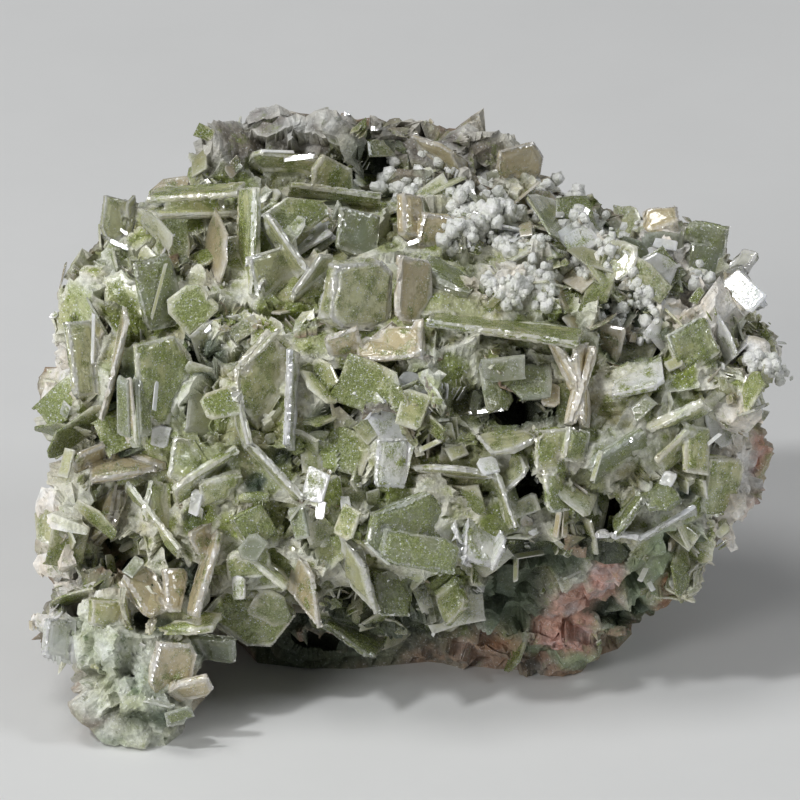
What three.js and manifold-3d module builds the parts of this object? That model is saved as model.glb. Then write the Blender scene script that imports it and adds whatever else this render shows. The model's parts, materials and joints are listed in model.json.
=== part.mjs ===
// Wulfenite with duftite: a loose mineral specimen that rests on its own broken base.
// Millimetres, +Z up, the show face toward -Y. Run with the npm packages three and manifold-3d.
import * as THREE from 'three';
import { mergeVertices } from 'three/addons/utils/BufferGeometryUtils.js';
import Module from 'manifold-3d';

const wasm = await Module();
wasm.setup();

// Driving dimensions
const SHOW_TILT = 28; // degrees the show face leans back from upright
const FACE_HEIGHT = 21.6; // height of the middle of the show face
const GAP = 0.3; // clear space between a crystal and what it grows on
const ROOTED = 0.2; // share of the volume of a crystal seen edge on that meets the rock
const ROOTED_FLAT = 0.05; // the same share for crystals that face the viewer
const PLATE = 0.75; // usual thickness of a tablet
const BEAD = 0.85; // usual radius of a white bead
const SMALL_PLATE = 2.2; // usual width of a small crystal fused to the crust
const DIP = 0.28; // how far a tablet's middle line may lean out of the face, in radians
const STEP_BACK = 0.3; // how far a crystal that isn't rooted yet is pushed back at a time
const LUMP_WEAR = 0.2; // how far the corners of a lump of rock are worn in, as a share of its size
const BEAD_WEAR = 0.05; // the same for a white bead
const BEAD_SUNK = 0.2; // how deep a bead's middle lies in the crust, as a share of its radius
const SMALL_THICKNESS = 0.8; // thickness of a small crystal fused to the crust
const FAR = 80; // a distance well outside the specimen

// Each mass of rock: the sides of its outline, how square that outline is and how rough it is
const MATRIX = { sides: 24, squareness: 2.7, roughness: 1.8 };
const LOBE = { sides: 12, squareness: 2.5, roughness: 0.7 };
const RIDGE = { sides: 12, squareness: 2.3, roughness: 1 };

// The matrix, row by row from the base up: height, left, right, front, back
const MATRIX_ROWS = [
  [0, -14, 18.4, -5.5, 14],
  [3.2, -17, 20.6, -7.5, 15],
  [7, -23, 23.6, -10, 15.8],
  [11, -26.4, 26, -12, 16.2],
  [15, -26.8, 27.8, -13, 16.8],
  [19, -26.2, 28.4, -12.6, 17],
  [23, -26.6, 28.6, -11, 17],
  [27, -26.8, 28, -8, 16.6],
  [30, -25.4, 26.6, -4.6, 15],
  [32.6, -23, 23, -0.4, 12.4],
  [34.4, -19.4, 12.8, 5.4, 13.4],
  [36, -15, 9, 10, 15],
];

// The lobe that reaches forward at the lower left, in rows of the same kind
const LOBE_ROWS = [
  [0, -24.4, -17.2, -18.6, -5],
  [2.6, -26, -15.8, -19, -4],
  [6, -26.6, -15.4, -18, -4],
  [9.5, -26.4, -16.2, -15.6, -4],
  [12, -25.4, -18, -13.4, -5],
];

// The back ridge, in rows of the same kind
const RIDGE_ROWS = [
  [29, -18.6, 13, 8.4, 15.4],
  [32.4, -18.2, 12.2, 9.6, 17],
  [35.2, -17.2, 10.8, 11, 17.6],
  [37.2, -14.6, 9, 12.6, 17],
  [38.4, -8.4, 2.6, 14, 16],
];

// Lumps of rock: centre x, y, z, then half sizes across, deep and high
const LUMPS = [
  [-13.4, 13.6, 35, 4.4, 3.8, 3.4],
  [-4, 14.4, 36.4, 5, 3.6, 3.6],
  [7.4, 14, 35.2, 4, 3.8, 3.4],
  [14.4, -4.4, 6.2, 6.6, 4.8, 5.2],
  [10.4, -5, 2.4, 6.6, 3.8, 3.4],
  [-19, 8, 31.6, 4.4, 5.4, 4],
  [20.4, 6.6, 31.2, 5.8, 5.6, 4.2],
  [27, 1, 24, 3.2, 6.4, 5.6],
  [25.8, -2.4, 15.6, 3.2, 5.8, 4.8],
  [19.2, -2, 6.6, 3.6, 5, 4.4],
  [-26.2, -6, 12.8, 3, 5.4, 5.4],
  [-26.8, -10.4, 7, 3, 4.4, 4.2],
  [-25.8, -1, 22.4, 2.8, 6.4, 5.4],
  [-2, -8.6, 12.5, 7, 4, 4.6],
  [-10.5, -9.4, 15.5, 6, 4, 5],
  [4, -6, 22.4, 6.6, 5.4, 4.4],
  [-14, -4.5, 24.6, 6.6, 5.4, 5],
  [18, -7.4, 17.4, 6, 4.8, 5.4],
  [-15, 10.6, 14, 12, 7.4, 11],
  [13, 10.8, 20, 12, 7.4, 10],
  [1, 11, 8, 13, 6.4, 8],
  [2, 11, 26, 13, 7, 8],
];

// Hollows in the show face: across, up, width, height, depth
const HOLLOWS = [
  [9.4, -0.4, 5.4, 3.4, 4.4],
  [16, -9.2, 4, 3.8, 4.8],
  [10.2, -6.8, 2.6, 3, 3.4],
  [-5.2, 1.2, 3.2, 2.8, 3.4],
  [-22.8, -12.6, 2.6, 4, 4.4],
  [19, 4.8, 5, 3.2, 3.6],
  [-2.6, 18.9, 4.8, 2.6, 4],
  [17.4, 15.2, 3.4, 1.8, 2.8],
  [-15.6, 3.3, 3.2, 2.8, 3.4],
  [-20.3, -17.6, 2.4, 2, 2.8],
  [-22.4, -0.6, 2.6, 4, 3],
  [0, -16, 5.2, 3.4, 3.8],
  [-7, -19.6, 5, 2.8, 3.6],
];

// Patches of white botryoidal beads: across, up, half width, half height, number of beads
const BEAD_PATCHES = [
  [15, 12.6, 4, 2.6, 8],
  [2.4, 18.2, 3.4, 2, 4],
  [9.8, 9.2, 2.4, 1.8, 3],
  [7, 14.6, 3.4, 2.6, 5],
  [18.8, 8, 2, 2.2, 2],
  [28.6, 3.2, 0.6, 0.8, 1],
];

// Patches of small crystals fused to the crust: a direction to look along, as degrees round and up,
// then the middle across and up in that view, the half width and half height, and how many
const CRYSTAL_PATCHES = [
  [0, SHOW_TILT, -17, 0, 9, 14, 12],
  [0, SHOW_TILT, 2, 0, 10, 12, 9],
  [0, SHOW_TILT, 20, -3, 7, 9, 8],
  [-80, 10, 0, 0, 13, 12, 5],
  [80, 10, 0, 0, 13, 12, 5],
  [180, 20, 0, -1, 21, 10, 5],
];

// Crystals and crystal groups on the show face. A tablet's middle line runs from one place to another
// (across, up, across, up); then come its true width and the width that shows. A shown width below zero
// turns the seen face to the left of that line. The last three, where given, are the cut of its corners,
// its thickness and how far it stands forward of its group.
const CRYSTALS = {
  big_dark_green: [
    [0.3, -13.3, 1, -7, 7.2, 6.6, 0.3, 1],
    [1.4, -13.5, 1.8, -10.6, 6.4, 6.2, 0.2, 0.8, 0.5],
  ],
  pale_lens_blade: [[-6.2, -9.4, -1.5, -17, 3.2, 2.2, 0.42, 0.8]],
  brown_beige_blade: [[-9.6, -10.9, -6.2, -18.2, 3.6, 2.4, 0.46, 0.6]],
  large_lower_green: [
    [-14.1, -15.4, -9.5, -18.8, 4.8, 4.4, 0.24, 0.9],
    [-8.9, -18.2, -8.5, -21.4, 1.9, 1.2, 0.4, 0.6],
  ],
  pale_rimmed: [
    [-13.9, -13.2, -10.2, -12.8, 3, 2.4, 0.2],
    [-12.2, -11.9, -8.8, -14.9, 2.6, -0.9, 0.1, 0.6],
  ],
  green_square_low: [
    [-12.9, -10.8, -10.3, -9.2, 3.3, 3, 0.08],
    [-13, -8, -10.2, -8, 2.8, 0.9, 0.2],
  ],
  white_upright_block: [
    [5.2, -13.2, 4.7, -10, 2.8, 0.8, 0.1, 0.6],
    [6.2, -13.1, 6.7, -9.9, 3.2, 2.9, 0.16, 1],
    [7.1, -13.3, 8.3, -10.7, 2.2, -0.8, 0.2, 0.5],
  ],
  green_tooth: [[4.4, -14, 4, -18.3, 3, 2.3, 0.42, 1]],
  dark_under_plate: [[-0.8, -17.2, -0.6, -13.8, 3.6, 3.1, 0.2, 1]],
  double_edge_plate: [[-5.6, -17.4, -1.6, -20.3, 3.6, -1.7, 0.16, 0.6]],
  brown_fan: [
    [-22.6, -6.6, -25.4, -12.4, 3.4, 1.7, 0.36, 0.6],
    [-22.3, -7, -23.8, -11.8, 3, 1.1, 0.36, 0.6],
    [-23.2, -6.4, -26.8, -10, 3, 1.9, 0.36, 0.6],
  ],
  low_left_edge_and_plate: [
    [-19.6, -10, -18.7, -6.6, 3.2, 2.7, 0.2],
    [-21.9, -6.7, -17.4, -12.4, 3.2, 0.8, 0.12, 0.5],
  ],
  beige_triangle_and_blade: [
    [-15.9, -12.4, -15.2, -9.5, 3.2, 2.6, 0.4],
    [-14.5, -10.3, -16.6, -17.2, 3, 0.9, 0.2, 0.7],
  ],
  grey_and_beige_low: [
    [-18.9, -17.1, -21.2, -13.5, 2.9, 2.3, 0.14, 0.9],
    [-17.6, -16.9, -18, -13.3, 2.3, 2, 0.12],
  ],
  green_brown_block: [
    [-23.5, -18, -23.3, -15.7, 2.8, 2.6, 0.06, 1.4],
    [-22.2, -14.8, -21.3, -18.1, 2.4, -0.8, 0.3, 0.6],
  ],
  green_white_ledge: [[-19.9, -17.3, -14.6, -17.9, 3.4, -1.6, 0.24, 0.8]],
  hanging_grey_white: [[-27.4, -20.7, -27, -17.4, 2.8, 2.3, 0.12, 0.9]],
  lobe_beige: [
    [-18.5, -23.3, -17.7, -19.2, 3.6, 3.3, 0.18, 0.9],
    [-18.2, -23.3, -14.9, -22.5, 2.4, 1.6, 0.2, 0.8],
  ],
  lobe_clear: [
    [-18.3, -26.1, -17.3, -24.2, 2, 1.7, 0.3, 0.8],
    [-20.8, -24.1, -17.8, -24.7, 2, 0.9, 0.2, 0.6],
    [-21.6, -26.8, -19.2, -26.2, 2, 1.3, 0.3, 0.8],
  ],
  dark_clear_under: [[-16.9, -19.5, -13, -20, 2.8, 1.9, 0.12, 0.8]],
  corner_clear: [
    [-22.9, 12.6, -22.3, 16.2, 3, 2.7, 0.24],
    [-21.8, 14.4, -21.3, 16.6, 1.2, 0.7, 0.4, 0.5],
  ],
  top_left_shelves: [
    [-20, 16.4, -12.6, 16.8, 3.6, -1, 0.12, 0.6],
    [-20, 15, -13, 15.3, 3.6, -1, 0.12, 0.6],
    [-18.8, 14.8, -13.8, 15, 3.2, 2.8, 0.1, 1],
  ],
  tall_edge: [[-12.3, 8, -12, 17, 3.8, -1.4, 0.08, 0.8]],
  upper_left_squares: [
    [-17.4, 6.2, -15.3, 9, 4.7, 4.3, 0.08],
    [-18.8, 5.8, -19.8, 11.4, 3.7, 3.2, 0.12],
  ],
  growth_lines_and_blades: [
    [-9.9, 8.2, -10.6, 11.9, 4.1, 3.5, 0.1],
    [-11, 14.8, -7.8, 10.2, 3.2, 1.1, 0.12, 0.6],
    [-5.7, 11.6, -8.3, 8, 2.8, -1, 0.12, 0.6],
  ],
  big_translucent_block: [[-3.4, 5.6, -3.2, 11.2, 5.5, 5, 0.2, 1.8]],
  dark_clear_square: [[-3.6, 11.7, -3.2, 15.1, 3.7, 3.3, 0.08]],
  sparkly_hexagon: [
    [-6.6, 16.4, -4.3, 19.2, 4.6, 3.6, 0.3],
    [-9, 17, -1.5, 16, 2.8, 0.8, 0.12, 0.6],
  ],
  top_edge: [[-12, 19.2, -6.4, 18.6, 3.4, 1.7, 0.16, 0.7]],
  brown_tapered: [[5.6, 18.2, 0.8, 21.2, 3, -1.6, 0.4, 0.6]],
  beige_block_pair: [
    [0.8, 13, 0.8, 16.4, 2.3, 1.8, 0.1, 1.2],
    [2.6, 12.3, 3.2, 14.9, 3.3, 3, 0.1, 1],
  ],
  smooth_beige: [[0.9, 6.2, 1.1, 11.4, 3.7, 2.7, 0.1, 0.8]],
  white_edge_terrace: [[1.8, 10.9, 5.9, 8.9, 3.2, -1.9, 0.12, 0.7]],
  brown_curved_top: [[9.2, 17.2, 10, 21, 4.5, 3.8, 0.3, 0.6]],
  pink_top_right: [[19.5, 14.4, 22.4, 14.7, 2.2, -1.6, 0.16]],
  dark_glassy_right: [
    [22.6, 13.3, 26.2, 12.4, 3.4, 2.7, 0.2],
    [24, 9.9, 24.4, 12.5, 2.7, 2.4, 0.1],
  ],
  mirror_right: [
    [26.3, 10.6, 28.5, 7, 2.7, 2.2, 0.1],
    [27, 9.9, 28.2, 12, 1.9, -1.4, 0.1],
  ],
  green_right: [[24.1, 2.9, 22.6, 6.1, 4.1, 3.6, 0.14]],
  striated_left: [[-24.9, 0.2, -25.7, 6.3, 3, 2.2, 0.1, 0.9]],
  pink_edge_left: [[-21.7, 7, -24, -1.4, 4, 0.7, 0.12, 0.5]],
  large_green_left: [[-18.6, -2, -19, 5, 5.2, 4.4, 0.28, 0.8]],
  olive_tilted: [
    [-24.8, -5.7, -18.6, -4.6, 3.6, -2.1, 0.14],
    [-26.1, -5.2, -23.4, -4, 2.8, 1.4, 0.2],
  ],
  grey_purple_and_green_edge: [
    [-17.3, -6.6, -16.7, -3.2, 3.1, 2.8, 0.1],
    [-12.9, -4.4, -18, -7.6, 3.2, -1.3, 0.12],
    [-16, -7.5, -12.5, -6.6, 2.6, 2, 0.1],
  ],
  large_curved_green: [
    [-10.6, -2.4, -11.2, 5.6, 5.3, 4.6, 0.34, 0.8],
    [-14.6, 1, -9.4, 5.9, 2.4, -0.8, 0.3, 0.5, 0.4],
  ],
  upright_edge: [[-8.7, -4, -8.4, 3.8, 3.4, 0.8, 0.08, 0.6]],
  long_pale_blades: [
    [-13.3, 1, -12.1, -4, 2.8, 0.8, 0.12, 0.6],
    [-12.4, -3.4, -7.9, -8.2, 3, 1, 0.12, 0.6],
  ],
  tilted_pair: [
    [-3.4, 4.4, 2, 4.9, 4.1, -3.3, 0.12],
    [-5.9, 4, -3, 4.9, 2.6, 2.2, 0.12],
  ],
  speckled: [
    [-3.8, -6.4, -3.6, -3.7, 3.3, 3, 0.1],
    [-0.9, -7, -0.7, -3, 2.8, 2.6, 0.1, 0.8, 0.2],
  ],
  long_ledge_and_curtain: [
    [2.3, 6.7, 14.5, 4.9, 4.6, -1.3, 0.06, 0.7],
    [10.2, 0.8, 9.8, 5, 5.4, 5, 0.14],
    [4.2, 0.6, 4.3, 5.6, 3, 2.3, 0.1],
  ],
  pale_hexagon: [
    [5.6, -3.1, 11, -2.7, 4.2, -2.8, 0.34],
    [9.2, -3.4, 8.5, -7.6, 3.2, 2.6, 0.44],
    [0.9, -5.5, 7.6, -5.9, 2.8, 0.8, 0.3, 0.6],
    [7.3, -5.4, 9, -10.2, 2.4, 0.7, 0.12, 0.5],
  ],
  splayed_bundle: [
    [14.9, -2.3, 14.3, 4.7, 2.8, 1.1, 0.12],
    [13.2, -2, 15.2, 4.4, 2.8, -0.9, 0.12],
    [11.8, 5, 14, 1.2, 2.4, 0.9, 0.12],
  ],
  green_block: [
    [11.8, -5.9, 11.8, -2.1, 3, 2.8, 0.1, 1.6],
    [13.7, -5, 14.1, -2.2, 2.4, 2, 0.1],
    [12.5, -9, 12.2, -5.6, 2.6, 1.8, 0.2],
  ],
  white_drusy: [[16.7, 1.4, 21.1, 2.3, 3.6, -2.5, 0.2]],
  two_section_tablet: [[15.2, -5.8, 19.7, -3.1, 3, 2, 0.12, 0.9]],
  ridge_right: [
    [19.4, -3, 24.6, -0.3, 3, 1.1, 0.12],
    [23.4, -5.9, 23.6, -2, 2.7, 2.2, 0.1],
    [23.2, -2.8, 20.5, -5.3, 2.8, -1.4, 0.1],
  ],
  jagged_dark_green: [
    [18.4, -7.6, 22.5, -7.6, 3.4, -2.5, 0.3],
    [19.3, -7.4, 17, -10.3, 2.8, 1, 0.12],
  ],
  long_thin_edges: [
    [18.9, -11.4, 23.6, -8.7, 3.2, 0.7, 0.08, 0.5],
    [15.5, -10.8, 19.6, -11.2, 2.8, 0.9, 0.12, 0.6],
  ],
  mottled_right: [[25.2, -9.2, 26, -4.5, 3.5, 3, 0.16]],
};

// The colour and roughness of the rock, and of each kind of crystal with the groups that have it
const ROCK_LOOK = { color: 0x83875f, roughness: 0.85 };
const CRYSTAL_LOOKS = [
  [{ color: 0x5c6a46, roughness: 0.6 }, ['big_dark_green', 'dark_under_plate', 'double_edge_plate',
    'dark_glassy_right', 'jagged_dark_green', 'green_block', 'dark_clear_under', 'corner_clear',
    'dark_clear_square', 'lobe_clear']],
  [{ color: 0x96a063, roughness: 0.65 }, ['large_lower_green', 'green_square_low', 'green_tooth',
    'low_left_edge_and_plate', 'green_brown_block', 'green_white_ledge', 'tall_edge',
    'sparkly_hexagon', 'top_edge', 'green_right', 'large_green_left', 'large_curved_green',
    'long_ledge_and_curtain', 'mottled_right', 'grey_purple_and_green_edge', 'pale_rimmed']],
  [{ color: 0xa3907a, roughness: 0.35 }, ['brown_beige_blade', 'brown_fan', 'brown_tapered',
    'brown_curved_top', 'beige_block_pair', 'olive_tilted', 'lobe_beige', 'pink_top_right']],
  [{ color: 0xdcdcd2, roughness: 0.4 }, ['white_upright_block', 'white_edge_terrace', 'white_drusy',
    'mirror_right', 'hanging_grey_white', 'upright_edge', 'long_thin_edges', 'speckled',
    'upper_left_squares']],
];
const PALE_LOOK = { color: 0xc4bda2, roughness: 0.2 }; // all the other crystals

const faceMiddle = new THREE.Vector3(0, 0, FACE_HEIGHT);

// The three directions of a view from a given side: across, up and out toward the one who looks
function viewFrom(round, up) {
  const turn = THREE.MathUtils.degToRad(round);
  const rise = THREE.MathUtils.degToRad(up);
  const across = new THREE.Vector3(Math.cos(turn), Math.sin(turn), 0);
  const out = new THREE.Vector3(
    Math.sin(turn) * Math.cos(rise),
    -Math.cos(turn) * Math.cos(rise),
    Math.sin(rise),
  );
  return { across, up: new THREE.Vector3().crossVectors(out, across), out };
}
const show = viewFrom(0, SHOW_TILT);

// A place in a view, given across, up and out from the middle of the face
function placeIn(view, across, up, out = 0) {
  return faceMiddle.clone()
    .addScaledVector(view.across, across)
    .addScaledVector(view.up, up)
    .addScaledVector(view.out, out);
}

// A steady source of chance, so that the specimen is the same each time
const ROCK_SEED = 20;
let seed = ROCK_SEED;
function chance() {
  seed = (seed * 1664525 + 1013904223) % 4294967296;
  return seed / 4294967296;
}
const between = (low, high) => low + (high - low) * chance();

// A slow swell and a quicker ripple through space, from about -1 to 1
function swell(x, y, z) {
  const slow = Math.sin(0.31 * x + 1.3) * Math.sin(0.37 * y + 0.6) * Math.sin(0.34 * z + 2.1);
  const quick = Math.sin(0.83 * x + 0.4) * Math.sin(0.91 * y + 2.2) * Math.sin(0.87 * z + 0.9);
  return 0.65 * slow + 0.5 * quick;
}

// A geometry with nothing but places, so that its shared corners can be merged
function bareCopy(geometry) {
  const bare = geometry.clone();
  bare.deleteAttribute('normal');
  bare.deleteAttribute('uv');
  return bare;
}

// Turns a closed three.js geometry into a solid
function solidOf(geometry) {
  const merged = mergeVertices(bareCopy(geometry), 1e-4);
  return new wasm.Manifold(new wasm.Mesh({
    numProp: 3,
    vertProperties: Float32Array.from(merged.attributes.position.array),
    triVerts: Uint32Array.from(merged.index.array),
  }));
}

function geometryFrom(points, faces) {
  const geometry = new THREE.BufferGeometry();
  geometry.setAttribute('position', new THREE.Float32BufferAttribute(points.flat(), 3));
  geometry.setIndex(faces.flat());
  return geometry;
}

function geometryOf(solid) {
  const mesh = solid.getMesh();
  const geometry = new THREE.BufferGeometry();
  geometry.setAttribute('position', new THREE.Float32BufferAttribute(mesh.vertProperties, 3));
  geometry.setIndex(Array.from(mesh.triVerts));
  return geometry;
}

const joined = (solids) => solids.reduce((all, one) => all.add(one));

// The volume of a solid: the sum of the tetrahedra from the origin to each triangle
function volumeOf(solid) {
  const { vertProperties: p, triVerts: t } = solid.getMesh();
  const corner = (i) => new THREE.Vector3(p[3 * i], p[3 * i + 1], p[3 * i + 2]);
  let sum = 0;
  for (let i = 0; i < t.length; i += 3) {
    sum += corner(t[i]).dot(corner(t[i + 1]).cross(corner(t[i + 2])));
  }
  return sum / 6;
}

// Keeps only the largest connected body of a solid, so that no crumb is left by a cut
function largestBody(solid) {
  const { vertProperties, triVerts } = solid.getMesh();
  const root = Array.from({ length: vertProperties.length / 3 }, (_, i) => i);
  const find = (i) => {
    while (root[i] !== i) {
      root[i] = root[root[i]];
      i = root[i];
    }
    return i;
  };
  for (let i = 0; i < triVerts.length; i += 3) {
    root[find(triVerts[i + 1])] = find(triVerts[i]);
    root[find(triVerts[i + 2])] = find(triVerts[i]);
  }
  const bodies = new Map();
  for (let i = 0; i < triVerts.length; i += 3) {
    const body = find(triVerts[i]);
    if (!bodies.has(body)) bodies.set(body, []);
    bodies.get(body).push(triVerts[i], triVerts[i + 1], triVerts[i + 2]);
  }
  const lists = [...bodies.values()].sort((a, b) => b.length - a.length);
  if (lists.length === 1) return solid;
  const kept = new THREE.BufferGeometry();
  kept.setAttribute('position', new THREE.Float32BufferAttribute(vertProperties, 3));
  kept.setIndex(lists[0]);
  return solidOf(kept.toNonIndexed());
}

// A mass of rock from rows of rounded, roughened outlines, flat at the base
function massFromRows(rows, { sides, squareness, roughness }, grown) {
  const points = [];
  const faces = [];
  const bulge = (value) => Math.sign(value) * Math.abs(value) ** (2 / squareness);
  rows.forEach(([height, left, right, front, back], row) => {
    for (let side = 0; side < sides; side += 1) {
      const angle = (2 * Math.PI * (side + 0.5 * (row % 2))) / sides;
      const across = bulge(Math.cos(angle));
      const deep = bulge(Math.sin(angle));
      const x = (left + right) / 2 + (across * (right - left)) / 2;
      const y = (front + back) / 2 + (deep * (back - front)) / 2;
      const push = grown + roughness * (swell(x, y, height) + between(-0.35, 0.35));
      const rise = row === 0 ? -grown : between(-0.5, 0.5);
      points.push([x + across * push, y + deep * push, height + rise]);
    }
  });
  for (let row = 0; row + 1 < rows.length; row += 1) {
    for (let side = 0; side < sides; side += 1) {
      const next = (side + 1) % sides;
      const [a, b] = [row * sides + side, row * sides + next];
      const [c, d] = [a + sides, b + sides];
      if (row % 2) faces.push([a, b, d], [a, d, c]);
      else faces.push([a, b, c], [b, d, c]);
    }
  }
  const crownRow = rows.length - 1;
  const middle = ([height, left, right, front, back], rise) => (
    [(left + right) / 2, (front + back) / 2, height + rise]
  );
  const foot = points.push(middle(rows[0], -grown)) - 1;
  const crown = points.push(middle(rows[crownRow], grown)) - 1;
  const top = crownRow * sides;
  for (let side = 0; side < sides; side += 1) {
    const next = (side + 1) % sides;
    faces.push([foot, next, side], [crown, top + side, top + next]);
  }
  return solidOf(geometryFrom(points, faces));
}

// A broken lump: a ball of flat faces, each corner pushed in by chance, then turned by chance
function lump(centre, halfSizes, unevenness) {
  const geometry = mergeVertices(bareCopy(new THREE.IcosahedronGeometry(1, 0)), 1e-4);
  const place = geometry.attributes.position;
  const corner = new THREE.Vector3();
  for (let i = 0; i < place.count; i += 1) {
    corner.fromBufferAttribute(place, i).multiplyScalar(1 - unevenness * chance());
    place.setXYZ(i, corner.x, corner.y, corner.z);
  }
  geometry.rotateZ(between(0, Math.PI));
  geometry.rotateX(between(-0.4, 0.4));
  geometry.scale(...halfSizes);
  geometry.translate(...centre);
  return solidOf(geometry);
}

// A rounded hollow that opens along a view, for cutting
function hollow(view, across, up, out, width, height, depth) {
  const geometry = new THREE.IcosahedronGeometry(1, 0);
  geometry.scale(width / 2, height / 2, depth);
  geometry.applyMatrix4(new THREE.Matrix4().makeBasis(view.across, view.up, view.out));
  geometry.translate(...placeIn(view, across, up, out));
  return solidOf(geometry);
}

// The outline of a tablet of crystal, length along Y and width along X. With little cut it is a plain
// rectangle, with more it loses two corners, and past a third it comes to a point at both ends.
function tabletOutline(length, width, cut) {
  const [half, tall] = [width / 2, length / 2];
  const [cx, cy] = [2 * half * cut, 2 * tall * cut];
  const corners = [[half, -tall], [half, tall], [-half, tall], [-half, -tall]];
  const clipped = [[half, -tall], [half, tall - cy], [half - cx, tall], [-half, tall], [-half, cy - tall],
    [cx - half, -tall]];
  const pointed = [[half, cy - tall], [half, tall - cy], [half - cx, tall], [-half, tall - cy],
    [-half, cy - tall], [cx - half, -tall]];
  let outline = corners;
  if (cut >= 0.1) outline = clipped;
  if (cut >= 0.3) outline = pointed;
  return outline.map(([x, y]) => [x * between(0.93, 1.04), y * between(0.95, 1.03)]);
}

// A flat prism of that outline, with every face moved out by a given amount
function prism(outline, thickness, grown) {
  const half = Math.max(...outline.map(([x]) => Math.abs(x)));
  const tall = Math.max(...outline.map(([, y]) => Math.abs(y)));
  const larger = outline.map(([x, y]) => new THREE.Vector2(x * (1 + grown / half), y * (1 + grown / tall)));
  const depth = thickness + 2 * grown;
  const geometry = new THREE.ExtrudeGeometry(new THREE.Shape(larger), { depth, bevelEnabled: false });
  geometry.translate(0, 0, -depth / 2);
  return geometry;
}

// A tablet set into a view and turned about its middle line until the asked width shows. Gives a function
// that builds it at a distance out from the middle of the face, grown by a given amount on every side.
function tabletIn(view, row) {
  const [x1, y1, x2, y2, width, shown, cut = 0.15, thickness = PLATE, forward = 0] = row;
  const seen = Math.hypot(x2 - x1, y2 - y1);
  const dip = between(-DIP, DIP);
  const outline = tabletOutline(seen / Math.cos(dip), width, cut);
  const along = view.across.clone().multiplyScalar((x2 - x1) / seen)
    .addScaledVector(view.up, (y2 - y1) / seen);
  const side = new THREE.Vector3().crossVectors(along, view.out);
  const turn = Math.sign(shown) * Math.acos(Math.min(1, Math.abs(shown) / width));
  const normal = view.out.clone().multiplyScalar(Math.cos(turn)).addScaledVector(side, Math.sin(turn));
  along.multiplyScalar(Math.cos(dip)).addScaledVector(view.out, Math.sin(dip));
  const broad = new THREE.Vector3().crossVectors(along, normal).normalize();
  normal.crossVectors(broad, along);
  const turned = new THREE.Matrix4().makeBasis(broad, along, normal);
  return (out, grown = 0) => {
    const geometry = prism(outline, thickness, grown).applyMatrix4(turned);
    geometry.translate(...placeIn(view, (x1 + x2) / 2, (y1 + y2) / 2, out + forward));
    return solidOf(geometry);
  };
}

// Where a line of sight meets a surface, as a distance out from the middle of the face
function surfaceFinder(solid) {
  const surface = new THREE.Mesh(geometryOf(solid));
  const caster = new THREE.Raycaster();
  return (view, across, up) => {
    caster.set(placeIn(view, across, up, FAR), view.out.clone().negate());
    const [hit] = caster.intersectObject(surface);
    return hit ? FAR - hit.distance : null;
  };
}

// Everything under the base is cut away flat
const ground = new THREE.BoxGeometry(2 * FAR, 2 * FAR, FAR);
ground.translate(0, 0, -FAR / 2);

// The bare rock: the body, the lobe and the lumps, less the hollows. The chance values are drawn afresh
// from the same start each time, so that a grown copy has the same shape.
function buildRock(grown) {
  seed = ROCK_SEED;
  const body = massFromRows(MATRIX_ROWS, MATRIX, grown);
  const lobe = massFromRows(LOBE_ROWS, LOBE, grown);
  const ridge = massFromRows(RIDGE_ROWS, RIDGE, grown);
  const lumps = LUMPS.map(([x, y, z, wide, deep, high]) => (
    lump([x, y, z], [wide + grown, deep + grown, high + grown], LUMP_WEAR)
  ));
  const rough = joined([body, lobe, ridge, ...lumps]);
  const find = surfaceFinder(rough);
  const hollows = HOLLOWS.map(([across, up, width, height, depth]) => (
    hollow(show, across, up, find(show, across, up), width - 2 * grown, height - 2 * grown, depth)
  ));
  return largestBody(rough.subtract(joined(hollows)));
}

// White beads, scattered over each patch and half sunk in the crust
function beadsOn(find) {
  const beads = [];
  BEAD_PATCHES.forEach(([across, up, halfWidth, halfHeight, count]) => {
    for (let i = 0; i < count; i += 1) {
      const angle = between(0, 2 * Math.PI);
      const reach = Math.sqrt(chance());
      const x = across + halfWidth * reach * Math.cos(angle);
      const y = up + halfHeight * reach * Math.sin(angle);
      const radius = BEAD * between(0.75, 1.4);
      const out = find(show, x, y);
      if (out === null) continue;
      const centre = placeIn(show, x, y, out - BEAD_SUNK * radius);
      beads.push(lump(centre.toArray(), [radius, radius, radius], BEAD_WEAR));
    }
  });
  return beads;
}

// Small crystals fused to the crust, turned by chance
function smallCrystalsOn(find) {
  const crystals = [];
  CRYSTAL_PATCHES.forEach(([round, rise, across, up, halfWidth, halfHeight, count]) => {
    const view = viewFrom(round, rise);
    for (let i = 0; i < count; i += 1) {
      const x = across + between(-halfWidth, halfWidth);
      const y = up + between(-halfHeight, halfHeight);
      const angle = between(0, Math.PI);
      const width = SMALL_PLATE * between(0.8, 1.6);
      const length = SMALL_PLATE * between(0.9, 2);
      const [dx, dy] = [(length / 2) * Math.cos(angle), (length / 2) * Math.sin(angle)];
      const shown = width * between(0.25, 0.8) * (chance() < 0.5 ? -1 : 1);
      const out = find(view, x, y);
      if (out === null) continue;
      const row = [x - dx, y - dy, x + dx, y + dy, width, shown, 0, SMALL_THICKNESS];
      crystals.push(tabletIn(view, row)(out));
    }
  });
  return crystals;
}

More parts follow.
